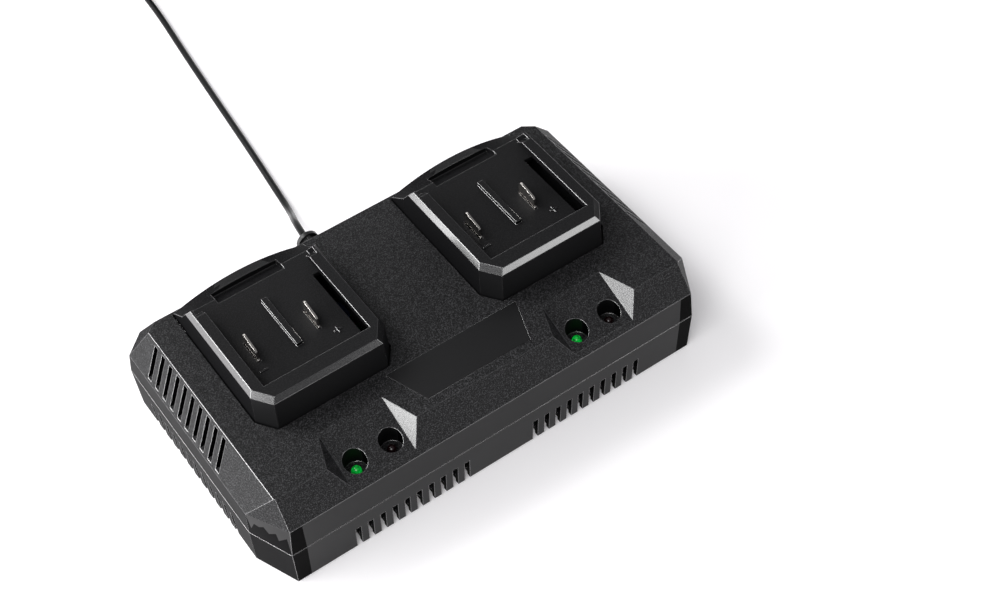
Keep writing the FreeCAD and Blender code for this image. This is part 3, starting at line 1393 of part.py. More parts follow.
make_upper_housing()
make_lower_housing()
make_name_plate()
for dock_name, dock_centre in DOCKS:
    make_dock(dock_name, dock_centre)
    make_terminals(dock_name, dock_centre)
    make_lamp(dock_name + "_green_lamp", dock_centre - size.lamp_offset)
    make_lamp(dock_name + "_red_lamp", dock_centre + size.lamp_offset)
    make_lamp_board(dock_name, dock_centre)
make_screws()
make_main_board()
make_power_parts()
make_fan()
make_feet()
make_strain_relief()
make_mains_leads()
make_cord()
doc.recompute()

for item in doc.Objects:
    if "Invalid" in item.State or "Error" in item.State:
        raise RuntimeError("%s failed to build" % item.Name)
    # A pocket that points away from the solid removes nothing
    if item.TypeId == "PartDesign::Pocket":
        before = item.BaseFeature.Shape.Volume
        if item.Shape.Volume > before - 0.01:
            raise RuntimeError("%s cuts nothing" % item.Name)

os.makedirs("parts", exist_ok=True)
for node in NODES:
    shape = doc.getObject(node).Shape
    if shape.isNull() or not shape.isValid():
        raise RuntimeError("%s has no valid shape" % node)
    shape.exportStep("parts/%s.step" % node)
print("%d nodes written" % len(NODES))
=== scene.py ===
# %% [markdown]
# # A charger with two docks, round its CAD frame
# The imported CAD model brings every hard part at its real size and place. This notebook
# gives those parts their plastics and metals, adds the cord and a few small pieces, and
# sets up the floor, the lights and the camera of a product photograph.

# %% Load the frame
import math

import bmesh
import bpy
from mathutils import Matrix, Vector


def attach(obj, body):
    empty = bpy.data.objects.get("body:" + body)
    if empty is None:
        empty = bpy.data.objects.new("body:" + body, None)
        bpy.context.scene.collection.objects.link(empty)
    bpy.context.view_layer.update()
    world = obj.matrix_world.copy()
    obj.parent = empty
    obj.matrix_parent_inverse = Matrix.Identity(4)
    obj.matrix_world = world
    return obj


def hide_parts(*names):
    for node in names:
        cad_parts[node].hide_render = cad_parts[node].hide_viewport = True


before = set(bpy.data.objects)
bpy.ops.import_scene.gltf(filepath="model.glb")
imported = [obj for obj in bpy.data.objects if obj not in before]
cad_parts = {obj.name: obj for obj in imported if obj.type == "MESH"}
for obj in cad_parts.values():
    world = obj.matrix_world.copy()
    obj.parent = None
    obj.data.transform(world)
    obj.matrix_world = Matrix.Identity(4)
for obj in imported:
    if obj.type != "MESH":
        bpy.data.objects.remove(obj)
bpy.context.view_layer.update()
MM = 0.001

# %% [markdown]
# ## Camera
# The photograph looks down on the charger from the front left with a fairly long lens. The
# body's parallel edges fix where the camera stood and how it was turned. Building the
# camera's own axes from the azimuth, the elevation and the small roll keeps those three
# numbers readable, which a matrix of nine numbers would not.

# %% The camera of the photograph
AZIMUTH = math.radians(-32.126)
ELEVATION = math.radians(50.058)
ROLL = math.radians(-3.991)
CAMERA_PLACE = Vector((-264.43, -502.71, 730.59)) * MM
LENS = 63.15
SENSOR_WIDTH = 36.0

level_right = Vector((math.cos(AZIMUTH), math.sin(AZIMUTH), 0))
backwards = Vector((math.sin(AZIMUTH) * math.cos(ELEVATION),
                    -math.cos(AZIMUTH) * math.cos(ELEVATION), math.sin(ELEVATION)))
level_up = backwards.cross(level_right)
right = level_right * math.cos(ROLL) + level_up * math.sin(ROLL)
up = level_up * math.cos(ROLL) - level_right * math.sin(ROLL)

camera_data = bpy.data.cameras.new("photo_camera")
camera_data.lens = LENS
camera_data.sensor_width = SENSOR_WIDTH
camera_data.sensor_fit = "HORIZONTAL"
camera_data.clip_start = 0.01
camera = bpy.data.objects.new("photo_camera", camera_data)
turned = Matrix((right, up, backwards)).transposed().to_4x4()
camera.matrix_world = Matrix.Translation(CAMERA_PLACE) @ turned
bpy.context.scene.collection.objects.link(camera)
bpy.context.scene.camera = camera
print("camera at", [round(value, 3) for value in CAMERA_PLACE])

# %% [markdown]
# ## Colour and shader helpers
# Colours are written as the hex codes of a colour picker. Shaders work in linear light, so
# one function turns each code to linear. A second one adds a node with its settings and
# links in a single line, which keeps each material short enough to read as a recipe.

# %% Helpers for materials
def linear(code):
    parts = [int(code[index:index + 2], 16) / 255 for index in (1, 3, 5)]
    return [part / 12.92 if part <= 0.04045 else ((part + 0.055) / 1.055) ** 2.4
            for part in parts] + [1.0]


def add(tree, kind, inputs=None, **settings):
    made = tree.nodes.new(kind)
    for name, value in settings.items():
        setattr(made, name, value)
    for name, value in (inputs or {}).items():
        if isinstance(value, bpy.types.NodeSocket):
            tree.links.new(value, made.inputs[name])
        else:
            made.inputs[name].default_value = value
    return made


def new_material(name):
    material = bpy.data.materials.new(name)
    material.use_nodes = True
    tree = material.node_tree
    tree.nodes.clear()
    shader = add(tree, "ShaderNodeBsdfPrincipled")
    add(tree, "ShaderNodeOutputMaterial", {"Surface": shader.outputs["BSDF"]})
    return material, tree, shader


def connect(tree, shader, **links):
    for name, socket in links.items():
        tree.links.new(socket, shader.inputs[name.replace("_", " ")])


def coat(material, *names):
    """Gives CAD nodes a finish by filling their material slots."""
    for name in names:
        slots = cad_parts[name].data.materials
        slots.clear()
        slots.append(material)


def finish_piece(name, mesh, material, body="charger"):
    """Makes an object of a finished bmesh, at the origin, riding on its body."""
    data = bpy.data.meshes.new(name)
    mesh.to_mesh(data)
    mesh.free()
    data.materials.append(material)
    piece = bpy.data.objects.new(name, data)
    bpy.context.scene.collection.objects.link(piece)
    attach(piece, body)

# %% [markdown]
# ## Sheath of the mains cord
# A mains cord is soft PVC run through a round die, so it is smooth and shiny, with only a
# faint unevenness along its length. A low roughness gives the thin streak of light that
# runs along the black cord in the photograph.

# %% Extruded PVC
pvc, tree, shader = new_material("extruded_black_pvc")
place = add(tree, "ShaderNodeTexCoord")
ripple = add(tree, "ShaderNodeTexNoise",
             {"Vector": place.outputs["Object"], "Scale": 1 / (9 * MM), "Detail": 2.0})
rough = add(tree, "ShaderNodeMapRange",
            {"Value": ripple.outputs["Fac"], "To Min": 0.30, "To Max": 0.42})
bumps = add(tree, "ShaderNodeBump",
            {"Height": ripple.outputs["Fac"], "Strength": 0.25, "Distance": 0.1 * MM})
shader.inputs["Base Color"].default_value = linear("#0d0d0e")
shader.inputs["IOR"].default_value = 1.52
shader.inputs["Specular IOR Level"].default_value = 0.22
connect(tree, shader, Roughness=rough.outputs["Result"], Normal=bumps.outputs["Normal"])
print("made", pvc.name)

# %% [markdown]
# ## The mains cord
# The cord leaves the rear face, drops to the floor under its own weight and runs away from
# the charger out of the picture. What the picture doesn't show is wound into a neat coil on
# the floor and tied, as a new charger's cord is. One NURBS spline through listed points
# gives all of it a smooth line. The coil's turns are points of the same spline, from the
# same formula as the CAD coil: four layers that wind in and out, climbing at each reversal.

# %% Route of the cord
CORD_DIAMETER = 3.8 * MM
COIL_MIDDLE = (50.0, 377.5)
COIL_OUTER = 27.3
COIL_PITCH = 4.35
COIL_LAYERS = 4
LAYER_TURNS = 2.75
COIL_LEVEL = 2.9
POINTS_PER_TURN = 16
COIL_TOP = COIL_LEVEL + (COIL_LAYERS - 1) * COIL_PITCH
COIL_EDGE = COIL_MIDDLE[0] - COIL_OUTER
PLUG_ENTRY = (COIL_EDGE, 439.3, 7.4)

FLOOR_RUN = [
    (-15.2, 84.7, 36.4), (-13.6, 96.5, 35.6), (-10.2, 108.0, 28.6), (-5.8, 119.0, 17.5),
    (-1.8, 130.0, 7.6), (1.2, 142.0, 2.3), (3.3, 160.0, 1.95), (6.5, 188.0, 2.0),
    (9.9, 222.0, 1.95), (13.4, 258.0, 2.0), (17.3, 296.0, 1.95), (21.2, 330.0, 2.1),
    (22.7, 355.0, COIL_LEVEL), (COIL_EDGE, 373.7, COIL_LEVEL)]
PLUG_RUN = [
    (COIL_EDGE, 381.3, COIL_TOP), (COIL_EDGE, 396.3, COIL_TOP - 0.3),
    (COIL_EDGE, 411.3, 12.0), (COIL_EDGE, 426.3, 7.9), PLUG_ENTRY]


def coil_point(turns):
    """A point on the coil after a number of turns, wound clockwise."""
    phase = turns / LAYER_TURNS
    layer = min(math.floor(phase), COIL_LAYERS - 1)
    part = phase - layer
    inward = part if layer % 2 == 0 else 1 - part
    radius = COIL_OUTER - inward * LAYER_TURNS * COIL_PITCH
    # A spline of this order runs inside its points, by the cosine of half a step
    radius /= math.cos(math.pi / POINTS_PER_TURN)
    angle = math.pi - 2 * math.pi * turns
    half = 0.25 / LAYER_TURNS
    level = layer
    if layer > 0 and part < half:
        level = layer - 0.5 + part / (2 * half)
    if layer < COIL_LAYERS - 1 and part > 1 - half:
        level = layer + (part - 1 + half) / (2 * half)
    return (COIL_MIDDLE[0] + radius * math.cos(angle), COIL_MIDDLE[1] + radius * math.sin(angle),
            COIL_LEVEL + level * COIL_PITCH)


coil_steps = int(COIL_LAYERS * LAYER_TURNS * POINTS_PER_TURN)
coil_run = [coil_point((index + 0.5) / POINTS_PER_TURN) for index in range(coil_steps)]
route = FLOOR_RUN + coil_run + PLUG_RUN
print("cord route:", len(route), "points,", coil_steps, "of them in the coil")

# %% Cord as one open spline
SPLINE_ORDER = 3
STEPS_BETWEEN_POINTS = 4
ROUND_STEPS = 6


def make_spline(name, points, diameter, material):
    data = bpy.data.curves.new(name, "CURVE")
    data.dimensions = "3D"
    spline = data.splines.new("NURBS")
    spline.points.add(len(points) - 1)
    for knot, (x, y, z) in zip(spline.points, points):
        knot.co = (x * MM, y * MM, z * MM, 1)
    spline.order_u = SPLINE_ORDER
    spline.use_endpoint_u = True
    spline.resolution_u = STEPS_BETWEEN_POINTS
    data.bevel_depth = diameter / 2
    data.bevel_resolution = ROUND_STEPS
    data.use_fill_caps = True
    data.materials.append(material)
    piece = bpy.data.objects.new(name, data)
    bpy.context.scene.collection.objects.link(piece)
    return piece


cord = make_spline("mains_cord_whole", route, CORD_DIAMETER, pvc)
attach(cord, "charger")
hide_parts("mains_cord", "cord_coil", "plug_lead")

# %% [markdown]
# ## Floor and light
# The product stands on seamless white paper, and black plastic shows mostly what it mirrors.
# So each panel is placed where a face of the charger sends the camera's view:
#
# - a broad one low at the left shines in the left chamfers and the recess walls,
# - one overhead at the left front lights the paper and the left bevel,
# - a compact one high at the left back draws the thin lines along the top's edges,
# - small ones low in front and at the front left corner shine in the other chamfers,
# - a weak one far behind keeps the background white.

# %% White paper and soft panels
def panel(name, place, aim, width, height, power):
    data = bpy.data.lights.new(name, "AREA")
    data.shape = "RECTANGLE"
    data.size = width
    data.size_y = height
    data.energy = power
    light = bpy.data.objects.new(name, data)
    place = Vector(place)
    light.matrix_world = (Matrix.Translation(place)
                          @ (place - Vector(aim)).to_track_quat("Z", "Y").to_matrix().to_4x4())
    bpy.context.scene.collection.objects.link(light)


paper, tree, shader = new_material("matt_white_paper")
place = add(tree, "ShaderNodeTexCoord")
fibre = add(tree, "ShaderNodeTexNoise",
            {"Vector": place.outputs["Object"], "Scale": 1 / (40 * MM), "Detail": 3.0})
tone = add(tree, "ShaderNodeMix", {"Factor": fibre.outputs["Fac"]}, data_type="RGBA")
tone.inputs[6].default_value = linear("#f7f5f7")
tone.inputs[7].default_value = linear("#f9f8f9")
shader.inputs["Specular IOR Level"].default_value = 0.2
shader.inputs["Roughness"].default_value = 0.9
# The photograph's paper is overexposed, which a faint glow of its own stands for
shader.inputs["Emission Color"].default_value = linear("#fdfbfd")
shader.inputs["Emission Strength"].default_value = 0.15
connect(tree, shader, Base_Color=tone.outputs[2])

FLOOR_HALF = 6.0
FLOOR_GAP = 0.2 * MM
mesh = bmesh.new()
bmesh.ops.create_grid(mesh, x_segments=1, y_segments=1, size=FLOOR_HALF)
bmesh.ops.translate(mesh, verts=mesh.verts, vec=(0, 0, -FLOOR_GAP))
data = bpy.data.meshes.new("paper_floor")
mesh.to_mesh(data)
mesh.free()
data.materials.append(paper)
floor = bpy.data.objects.new("paper_floor", data)
bpy.context.scene.collection.objects.link(floor)

# Name, place, aim, width, height and watts
PANELS = [
    ("left_panel", (-1.52, 0.42, 0.47), (0, 0, 0.06), 1.4, 0.9, 36),
    ("overhead_panel", (-1.0, -0.8, 1.8), (0, 0, 0), 1.3, 1.3, 24),
    ("key_panel", (-0.80, 1.05, 1.40), (0, 0, 0.06), 0.85, 0.85, 20),
    ("front_panel", (1.0, -1.55, 0.35), (0, 0, 0.05), 0.9, 0.5, 6),
    ("corner_panel", (-1.40, -0.95, 0.36), (0, 0, 0.06), 0.55, 0.5, 6),
    ("back_panel", (0.9, 2.3, 0.8), (0.2, 0.2, 0), 2.4, 0.8, 7)]
for row in PANELS:
    panel(*row)

world = bpy.data.worlds.new("studio")
bpy.context.scene.world = world
world.use_nodes = True
world.node_tree.nodes["Background"].inputs["Color"].default_value = linear("#f4f4f8")
world.node_tree.nodes["Background"].inputs["Strength"].default_value = 0.22
bpy.context.scene.view_settings.view_transform = "Standard"
print("floor and", len(PANELS), "panels ready")

# %% [markdown]
# ## Edges that catch the light
# No moulded or stamped edge is truly sharp: it has a radius of a few tenths, and that
# radius draws the bright lines of the photograph. A bevel node rounds the shading there and
# leaves the mesh as it is, so the CAD's sizes stay true. Where the rounded direction and
# the face's own direction part, the surface is an edge: on the ABS mouldings that mask gives
# it a gloss, because the mould's edges wear smooth first.

# %% A rounded edge for any material
BEVEL_SAMPLES = 6


def soft_edge(tree, radius):
    """The shading direction, rounded near edges."""
    return add(tree, "ShaderNodeBevel", {"Radius": radius},
               samples=BEVEL_SAMPLES).outputs["Normal"]


def edge_mask(tree, rounded, facing):
    """1 on the edges themselves, where the rounded direction leaves the face's own."""
    meet = add(tree, "ShaderNodeVectorMath", {0: rounded, 1: facing.outputs["True Normal"]},
               operation="DOT_PRODUCT")
    return add(tree, "ShaderNodeMapRange", {"Value": meet.outputs["Value"], "From Min": 0.995,
                                            "From Max": 0.96}).outputs[0]

# %% [markdown]
# ## Black ABS of the housing
# The shells are injection moulded in black ABS. The mould's top and bevels were spark
# eroded, which leaves a fine pebbled grain that breaks the reflections up into specks. The
# specks are also painted into the colour, as lighter glints on the grain's high points. The
# real grain is finer than this one: half a millimetre, about one pixel of the photograph,
# is as coarse as it needs to show. The upright bands come from a plainly blasted part of the
# mould and look satin, and the lamp recesses' side walls and the docks' rim chamfers were
# polished, so they carry the light panels as a pale sheen. The cut sides of the slots get a
# painted shade near black, for the hollow behind them sends no light back. One material
# does it all: the way a face points picks its finish, by masks that are 0 or 1 and join by a
# product (both) or a maximum (either). Such masks are simple but not exact, and two of them
# catch a little more than they should, as their notes say.

# %% Masks by place and direction
def band_mask(tree, value, low, high):
    """1 where a value lies between two limits."""
    middle, half = (low + high) / 2, (high - low) / 2
    return add(tree, "ShaderNodeMath", {0: value, 1: middle, 2: half},
               operation="COMPARE").outputs[0]


def blend(tree, mask, plain, marked):
    """A number that goes from plain to marked with a mask."""
    return add(tree, "ShaderNodeMapRange",
               {"Value": mask, "To Min": plain, "To Max": marked}).outputs[0]


def calculate(tree, operation, *values):
    """The result of one maths node."""
    return add(tree, "ShaderNodeMath", dict(enumerate(values)), operation=operation).outputs[0]


# Slot sides: how squarely they face, and from where on they lie
GRILLE_FACING_Y = 0.85
GRILLE_FROM_X = 112 * MM
FOOT_SLOT_FACING_X = 0.97
FOOT_SLOT_BEFORE_Y = -55 * MM
# How squarely a face has to look sideways or back to be dull
DULL_FACING_X = 0.9
DULL_FACING_Y = 0.3
# How far a polished face may look right or back
SHEEN_MOST_X = 0.2
SHEEN_MOST_Y = 0.3
BELOW_ANY_DIRECTION = -1.1


def slot_painted_shade_mask(tree, place, way):
    """1 on the cut sides of the grille and foot slots, which get a painted shade near black, as
    little light reaches them.

    The grille's limits also catch the outermost 8 to 14 mm of the front and rear faces,
    which get the painted shade too and come out black, a fault.
    """
    spot = add(tree, "ShaderNodeSeparateXYZ", {"Vector": place.outputs["Object"]}).outputs
    along, across, aside = [calculate(tree, "ABSOLUTE", value)
                            for value in (way["Y"], way["X"], spot["X"])]
    grille = calculate(tree, "MULTIPLY",
                       calculate(tree, "GREATER_THAN", along, GRILLE_FACING_Y),
                       calculate(tree, "GREATER_THAN", aside, GRILLE_FROM_X))
    foot = calculate(tree, "MULTIPLY",
                     calculate(tree, "GREATER_THAN", across, FOOT_SLOT_FACING_X),
                     calculate(tree, "LESS_THAN", spot["Y"], FOOT_SLOT_BEFORE_Y))
    return calculate(tree, "MAXIMUM", grille, foot)


def dull_mask(tree, way):
    """1 on the sides and the back, which were blasted coarser and take no low sheen.

    The limit for the sides also cuts through the twisted corner faces, whose small facets
    it catches in a zigzag, a fault.
    """
    side = calculate(tree, "GREATER_THAN", calculate(tree, "ABSOLUTE", way["X"]), DULL_FACING_X)
    back = calculate(tree, "GREATER_THAN", way["Y"], DULL_FACING_Y)
    return calculate(tree, "MAXIMUM", side, back)


def sheen_mask(tree, way, tilt, limits):
    """1 on polished faces: of a certain tilt, and facing neither right nor back."""
    tilted = band_mask(tree, tilt, *limits)
    leftward = band_mask(tree, way["X"], BELOW_ANY_DIRECTION, SHEEN_MOST_X)
    forward = band_mask(tree, way["Y"], BELOW_ANY_DIRECTION, SHEEN_MOST_Y)
    return calculate(tree, "MULTIPLY", calculate(tree, "MULTIPLY", tilted, leftward), forward)

# %% Moulded ABS, spark eroded on top
# Near black, painted on the slots' cut sides as their shade
SLOT_PAINTED_SHADE = "#020202"
ABS_EDGE = 0.45 * MM
CLOUD_SIZE = 30 * MM
# Faces tilted up at least this much are eroded; upright ones are bands
ERODED_TILT = (0.32, 1.1)


def moulded_abs(name, shade, painted_glint_colour, gloss, grain_rough, band_rough, sheen_rough, sheen_tilt,
                sheen_coat, grain_depth, grain):
    material, tree, shader = new_material(name)
    place = add(tree, "ShaderNodeTexCoord")
    facing = add(tree, "ShaderNodeNewGeometry")
    way = add(tree, "ShaderNodeSeparateXYZ", {"Vector": facing.outputs["True Normal"]}).outputs
    tilt = calculate(tree, "ABSOLUTE", way["Z"])
    rounded = soft_edge(tree, ABS_EDGE)
    edge = edge_mask(tree, rounded, facing)
    eroded = band_mask(tree, tilt, *ERODED_TILT)
    sheen = sheen_mask(tree, way, tilt, sheen_tilt)
    smooth = calculate(tree, "MAXIMUM", sheen, edge)
    # The slots' cut sides get a painted shade near black
    slots = slot_painted_shade_mask(tree, place, way)

    # Painted glints: a lighter colour on the pebbled grain's high points; and a painted shade,
    # near black, on the slots' cut sides
    pebbles = add(tree, "ShaderNodeTexNoise",
                  {"Vector": place.outputs["Object"], "Scale": 1 / grain, "Detail": 2.0,
                   "Roughness": 0.55})
    painted_glint_mask = add(tree, "ShaderNodeMapRange",
                {"Value": pebbles.outputs["Fac"], "From Min": 0.48, "From Max": 0.66})
    colour = add(tree, "ShaderNodeMix",
                 {"Factor": calculate(tree, "MULTIPLY", painted_glint_mask.outputs[0], eroded)},
                 data_type="RGBA")
    colour.inputs[6].default_value = linear(shade)
    colour.inputs[7].default_value = linear(painted_glint_colour)
    colour_with_painted_shade = add(tree, "ShaderNodeMix", {"Factor": slots}, data_type="RGBA")
    tree.links.new(colour.outputs[2], colour_with_painted_shade.inputs[6])
    colour_with_painted_shade.inputs[7].default_value = linear(SLOT_PAINTED_SHADE)

    # Rough grain, satin bands and smooth edges, a little uneven as if handled
    clouds = add(tree, "ShaderNodeTexNoise",
                 {"Vector": place.outputs["Object"], "Scale": 1 / CLOUD_SIZE, "Detail": 2.0})
    handled = blend(tree, clouds.outputs["Fac"], -0.04, 0.04)
    rough = calculate(tree, "ADD", blend(tree, eroded, band_rough, grain_rough), handled)
    rough = add(tree, "ShaderNodeMix", {0: smooth, 2: rough})
    rough.inputs[3].default_value = sheen_rough

    # The grain's height, less of it on smooth places
    height = calculate(tree, "MULTIPLY", pebbles.outputs["Fac"], eroded)
    height = calculate(tree, "MULTIPLY", height, blend(tree, smooth, 1.0, 0.25))
    bumps = add(tree, "ShaderNodeBump", {"Height": height, "Normal": rounded,
                                         "Strength": 1.0, "Distance": grain_depth})

    # Low sheen in general, full on smooth places and almost none on dull ones
    dull = calculate(tree, "MAXIMUM", dull_mask(tree, way), slots)
    bright = calculate(tree, "MULTIPLY", blend(tree, smooth, gloss, 1.0),
                       blend(tree, dull, 1.0, 0.06))
    # Full polish on edges, and a share of it on the sheen faces
    polish = calculate(tree, "MAXIMUM", calculate(tree, "MULTIPLY", sheen, sheen_coat), edge)
    shader.inputs["IOR"].default_value = 1.5
    shader.inputs["Coat Roughness"].default_value = 0.18
    shader.inputs["Coat IOR"].default_value = 2.6
    connect(tree, shader, Base_Color=colour_with_painted_shade.outputs[2], Roughness=rough.outputs[0],
            Specular_IOR_Level=bright, Coat_Weight=polish,
            Normal=bumps.outputs["Normal"], Coat_Normal=rounded)
    return material


# The second colour of each is painted on the grain's high points as glints
housing_abs = moulded_abs(
    "spark_eroded_black_abs", shade="#060607", painted_glint_colour="#3e3e40", gloss=0.24, grain_rough=0.55,
    band_rough=0.42, sheen_rough=0.24, sheen_tilt=(0.637, 0.67), sheen_coat=0.0,
    grain_depth=0.34 * MM, grain=0.52 * MM)
dock_abs = moulded_abs(
    "fine_matt_black_abs", shade="#111112", painted_glint_colour="#262627", gloss=0.13, grain_rough=0.55,
    band_rough=0.50, sheen_rough=0.20, sheen_tilt=(0.40, 0.70), sheen_coat=0.22,
    grain_depth=0.05 * MM, grain=0.5 * MM)
coat(housing_abs, "upper_housing", "lower_housing")
coat(dock_abs, "left_dock", "right_dock")
print("housing and docks in moulded ABS")

# %% [markdown]
# ## Plainer plastics
# The label plate, the terminal blocks, the fan, the bush and the tie are small mouldings
# that differ in gloss. The same short recipe with a shade, a roughness and a grain size
# serves them all, so they stay related, as parts from one workshop do.

# %% Satin and matt mouldings
MOULDING_EDGE = 0.3 * MM


def plain_moulding(name, shade, roughness, grain, depth, ior=1.5):
    material, tree, shader = new_material(name)
    place = add(tree, "ShaderNodeTexCoord")
    pores = add(tree, "ShaderNodeTexNoise",
                {"Vector": place.outputs["Object"], "Scale": 1 / grain, "Detail": 2.0})
    rough = add(tree, "ShaderNodeMapRange",
                {"Value": pores.outputs["Fac"], "To Min": roughness - 0.05,
                 "To Max": roughness + 0.05})
    darker = [channel * 0.8 for channel in linear(shade)[:3]] + [1.0]
    colour = add(tree, "ShaderNodeMix", {"Factor": pores.outputs["Fac"]}, data_type="RGBA")
    colour.inputs[6].default_value = darker
    colour.inputs[7].default_value = linear(shade)
    rounded = soft_edge(tree, MOULDING_EDGE)
    bumps = add(tree, "ShaderNodeBump",
                {"Height": pores.outputs["Fac"], "Normal": rounded, "Strength": 0.6,
                 "Distance": depth})
    shader.inputs["IOR"].default_value = ior
    connect(tree, shader, Base_Color=colour.outputs[2], Roughness=rough.outputs[0],
            Normal=bumps.outputs["Normal"])
    return material


plate_abs = plain_moulding("satin_abs_label_plate", "#111112", 0.38, 0.4 * MM, 0.01 * MM)
nylon = plain_moulding("moulded_black_nylon", "#1b1b1c", 0.45, 0.5 * MM, 0.02 * MM)
flexible_pvc = plain_moulding("moulded_flexible_pvc", "#141415", 0.40, 0.6 * MM, 0.02 * MM, 1.52)
rubber = plain_moulding("moulded_black_rubber", "#202022", 0.75, 0.5 * MM, 0.03 * MM, 1.52)
fan_pbt = plain_moulding("moulded_black_pbt", "#1c1c1d", 0.5, 0.6 * MM, 0.02 * MM)
case_epoxy = plain_moulding("cast_black_epoxy", "#242426", 0.55, 0.5 * MM, 0.02 * MM)
ferrite = plain_moulding("sintered_grey_ferrite", "#3a3a3d", 0.6, 0.4 * MM, 0.03 * MM, 2.3)
tape = plain_moulding("yellow_polyester_tape", "#c9a227", 0.3, 3.0 * MM, 0.03 * MM, 1.6)
sleeve = plain_moulding("shrunk_pvc_sleeve", "#1c2238", 0.3, 4.0 * MM, 0.02 * MM)
glaze = plain_moulding("glazed_ceramic_tube", "#cdc8ba", 0.15, 2.0 * MM, 0.01 * MM, 1.52)
solder_mask = plain_moulding("green_solder_mask", "#1d5a34", 0.35, 1.5 * MM, 0.02 * MM)
lead_pvc = plain_moulding("insulated_lead", "#2a1012", 0.35, 2.0 * MM, 0.02 * MM)
coat(plate_abs, "name_plate")
coat(nylon, "left_terminal_block", "right_terminal_block", "cord_tie")
coat(flexible_pvc, "strain_relief", "plug_body")
coat(rubber, "rubber_feet")
coat(fan_pbt, "fan_frame", "fan_rotor")
coat(case_epoxy, "film_capacitor", "bridge_rectifier")
coat(ferrite, "transformer_core", "line_choke")
coat(tape, "transformer_winding")
coat(sleeve, "bulk_capacitors", "output_capacitors")
coat(glaze, "mains_fuse")
coat(solder_mask, "main_board", "left_lamp_board", "right_lamp_board")
coat(lead_pvc, "left_charge_leads", "right_charge_leads", "mains_leads")
print("plain mouldings coated")

# %% [markdown]
# ## Metals
# The contact blades are stamped sheet with a bright nickel plating, slightly warm, with
# fine lines from the rolling of the sheet. They mirror the dark dock, and only their rims
# catch a panel. Steel screws are zinc plated and duller, and the heat sinks are plain
# extruded aluminium. A stretched noise draws the lines.

# %% Plated and extruded metals
METAL_EDGE = 0.35 * MM


def drawn_metal(name, shade, roughness, line, stretch):
    material, tree, shader = new_material(name)
    place = add(tree, "ShaderNodeTexCoord")
    along = add(tree, "ShaderNodeMapping", {"Vector": place.outputs["Object"]})
    along.inputs["Scale"].default_value = stretch
    lines = add(tree, "ShaderNodeTexNoise",
                {"Vector": along.outputs[0], "Scale": 1 / line, "Detail": 3.0})
    rough = add(tree, "ShaderNodeMapRange",
                {"Value": lines.outputs["Fac"], "To Min": roughness - 0.07,
                 "To Max": roughness + 0.09})
    duller = [channel * 0.82 for channel in linear(shade)[:3]] + [1.0]
    colour = add(tree, "ShaderNodeMix", {"Factor": lines.outputs["Fac"]}, data_type="RGBA")
    colour.inputs[6].default_value = duller
    colour.inputs[7].default_value = linear(shade)
    rounded = soft_edge(tree, METAL_EDGE)
    bumps = add(tree, "ShaderNodeBump",
                {"Height": lines.outputs["Fac"], "Normal": rounded, "Strength": 0.15,
                 "Distance": 0.01 * MM})
    shader.inputs["Metallic"].default_value = 1.0
    connect(tree, shader, Base_Color=colour.outputs[2], Roughness=rough.outputs[0],
            Normal=bumps.outputs["Normal"])
    return material


nickel = drawn_metal("nickel_plated_sheet", "#e6e2dc", 0.19, 0.3 * MM, (1, 0.15, 1))
zinc = drawn_metal("zinc_plated_steel", "#9a9b9e", 0.35, 0.4 * MM, (1, 1, 1))
aluminium = drawn_metal("extruded_aluminium", "#b9bbbe", 0.35, 0.4 * MM, (1, 1, 0.1))
coat(nickel, "left_minus_blade", "left_plus_blade", "right_minus_blade", "right_plus_blade",
     "plug_pins")
coat(zinc, "housing_screws", "board_screws", "lamp_board_screws")
coat(aluminium, "primary_heat_sink", "output_heat_sink")
print("metals coated")
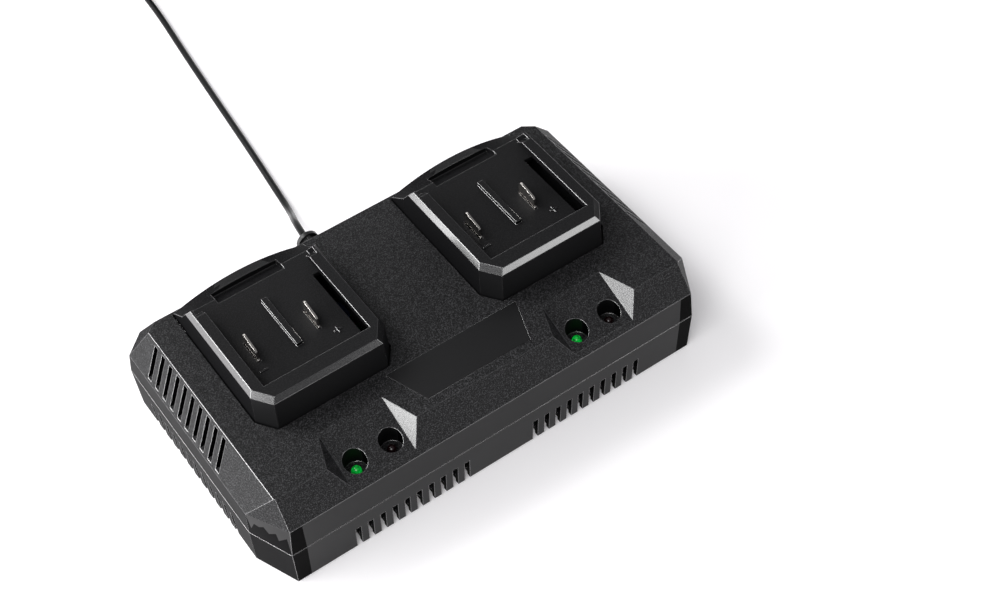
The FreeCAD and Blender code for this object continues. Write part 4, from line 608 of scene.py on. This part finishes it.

# %% [markdown]
# ## Lamps
# Each lamp is a light emitting diode with a tinted epoxy lens. The lit green one glows from
# inside its dome, unevenly, in a swirl of noise. The dark one only shows its tint
# and a pin-point highlight, so it has the same clear coat without the glow.

# %% Tinted lenses
def lens(name, tint, glow, strength):
    material, tree, shader = new_material(name)
    place = add(tree, "ShaderNodeTexCoord")
    swirl = add(tree, "ShaderNodeTexNoise",
                {"Vector": place.outputs["Object"], "Scale": 1 / (1.2 * MM), "Detail": 2.0})
    colour = add(tree, "ShaderNodeMix", {"Factor": swirl.outputs["Fac"]}, data_type="RGBA")
    colour.inputs[6].default_value = linear(tint)
    colour.inputs[7].default_value = [channel * 1.3 for channel in linear(tint)[:3]] + [1.0]
    power = add(tree, "ShaderNodeMapRange",
                {"Value": swirl.outputs["Fac"], "From Min": 0.35, "From Max": 0.65,
                 "To Min": 0.3 * strength, "To Max": 1.7 * strength})
    shader.inputs["Roughness"].default_value = 0.12
    shader.inputs["IOR"].default_value = 1.54
    shader.inputs["Emission Color"].default_value = linear(glow)
    connect(tree, shader, Base_Color=colour.outputs[2], Emission_Strength=power.outputs[0])
    return material


green_lens = lens("lit_green_epoxy_lens", "#0b4a1e", "#00c03c", 0.42)
red_lens = lens("dark_red_epoxy_lens", "#16090a", "#000000", 0.0)
coat(green_lens, "left_green_lamp", "right_green_lamp")
coat(red_lens, "left_red_lamp", "right_red_lamp")
print("lamps coated")

# %% [markdown]
# ## Pole marks on the dock floors
# Small raised signs stand beside the contacts, moulded with the floor, so they share its
# plastic and show only by their lit edges. Each bar is a small box with rounded edges.

# %% Raised plus and minus signs
DOCK_FLOOR = 70.0
SIGN_LENGTH, SIGN_WIDTH, SIGN_HEIGHT = 4.6, 1.1, 0.45
SIGN_EDGE = 0.15 * MM
DOCK_MIDDLES = {"left": -65.0, "right": 65.0}
# Places from the dock's middle
PLUS_PLACE = (19.7, -4.0)
MINUS_PLACE = (-21.9, -3.9)


def add_bar(mesh, middle, length_x, length_y):
    made = bmesh.ops.create_cube(mesh, size=1.0)["verts"]
    bmesh.ops.scale(mesh, verts=made, vec=(length_x * MM, length_y * MM, 2 * SIGN_HEIGHT * MM))
    bmesh.ops.translate(mesh, verts=made, vec=[value * MM for value in middle])
    corners = set(made)
    edges = [edge for edge in mesh.edges if corners.issuperset(edge.verts)]
    bmesh.ops.bevel(mesh, geom=edges, offset=SIGN_EDGE, segments=2, profile=0.5,
                    affect="EDGES", material=-1)


for side, dock in DOCK_MIDDLES.items():
    mesh = bmesh.new()
    middle = (dock + PLUS_PLACE[0], PLUS_PLACE[1], DOCK_FLOOR)
    add_bar(mesh, middle, SIGN_LENGTH, SIGN_WIDTH)
    add_bar(mesh, middle, SIGN_WIDTH, SIGN_LENGTH)
    finish_piece(side + "_plus_sign", mesh, dock_abs)
    mesh = bmesh.new()
    middle = (dock + MINUS_PLACE[0], MINUS_PLACE[1], DOCK_FLOOR)
    add_bar(mesh, middle, SIGN_LENGTH, SIGN_WIDTH)
    finish_piece(side + "_minus_sign", mesh, dock_abs)
print("four signs of %.1f mm" % SIGN_LENGTH)
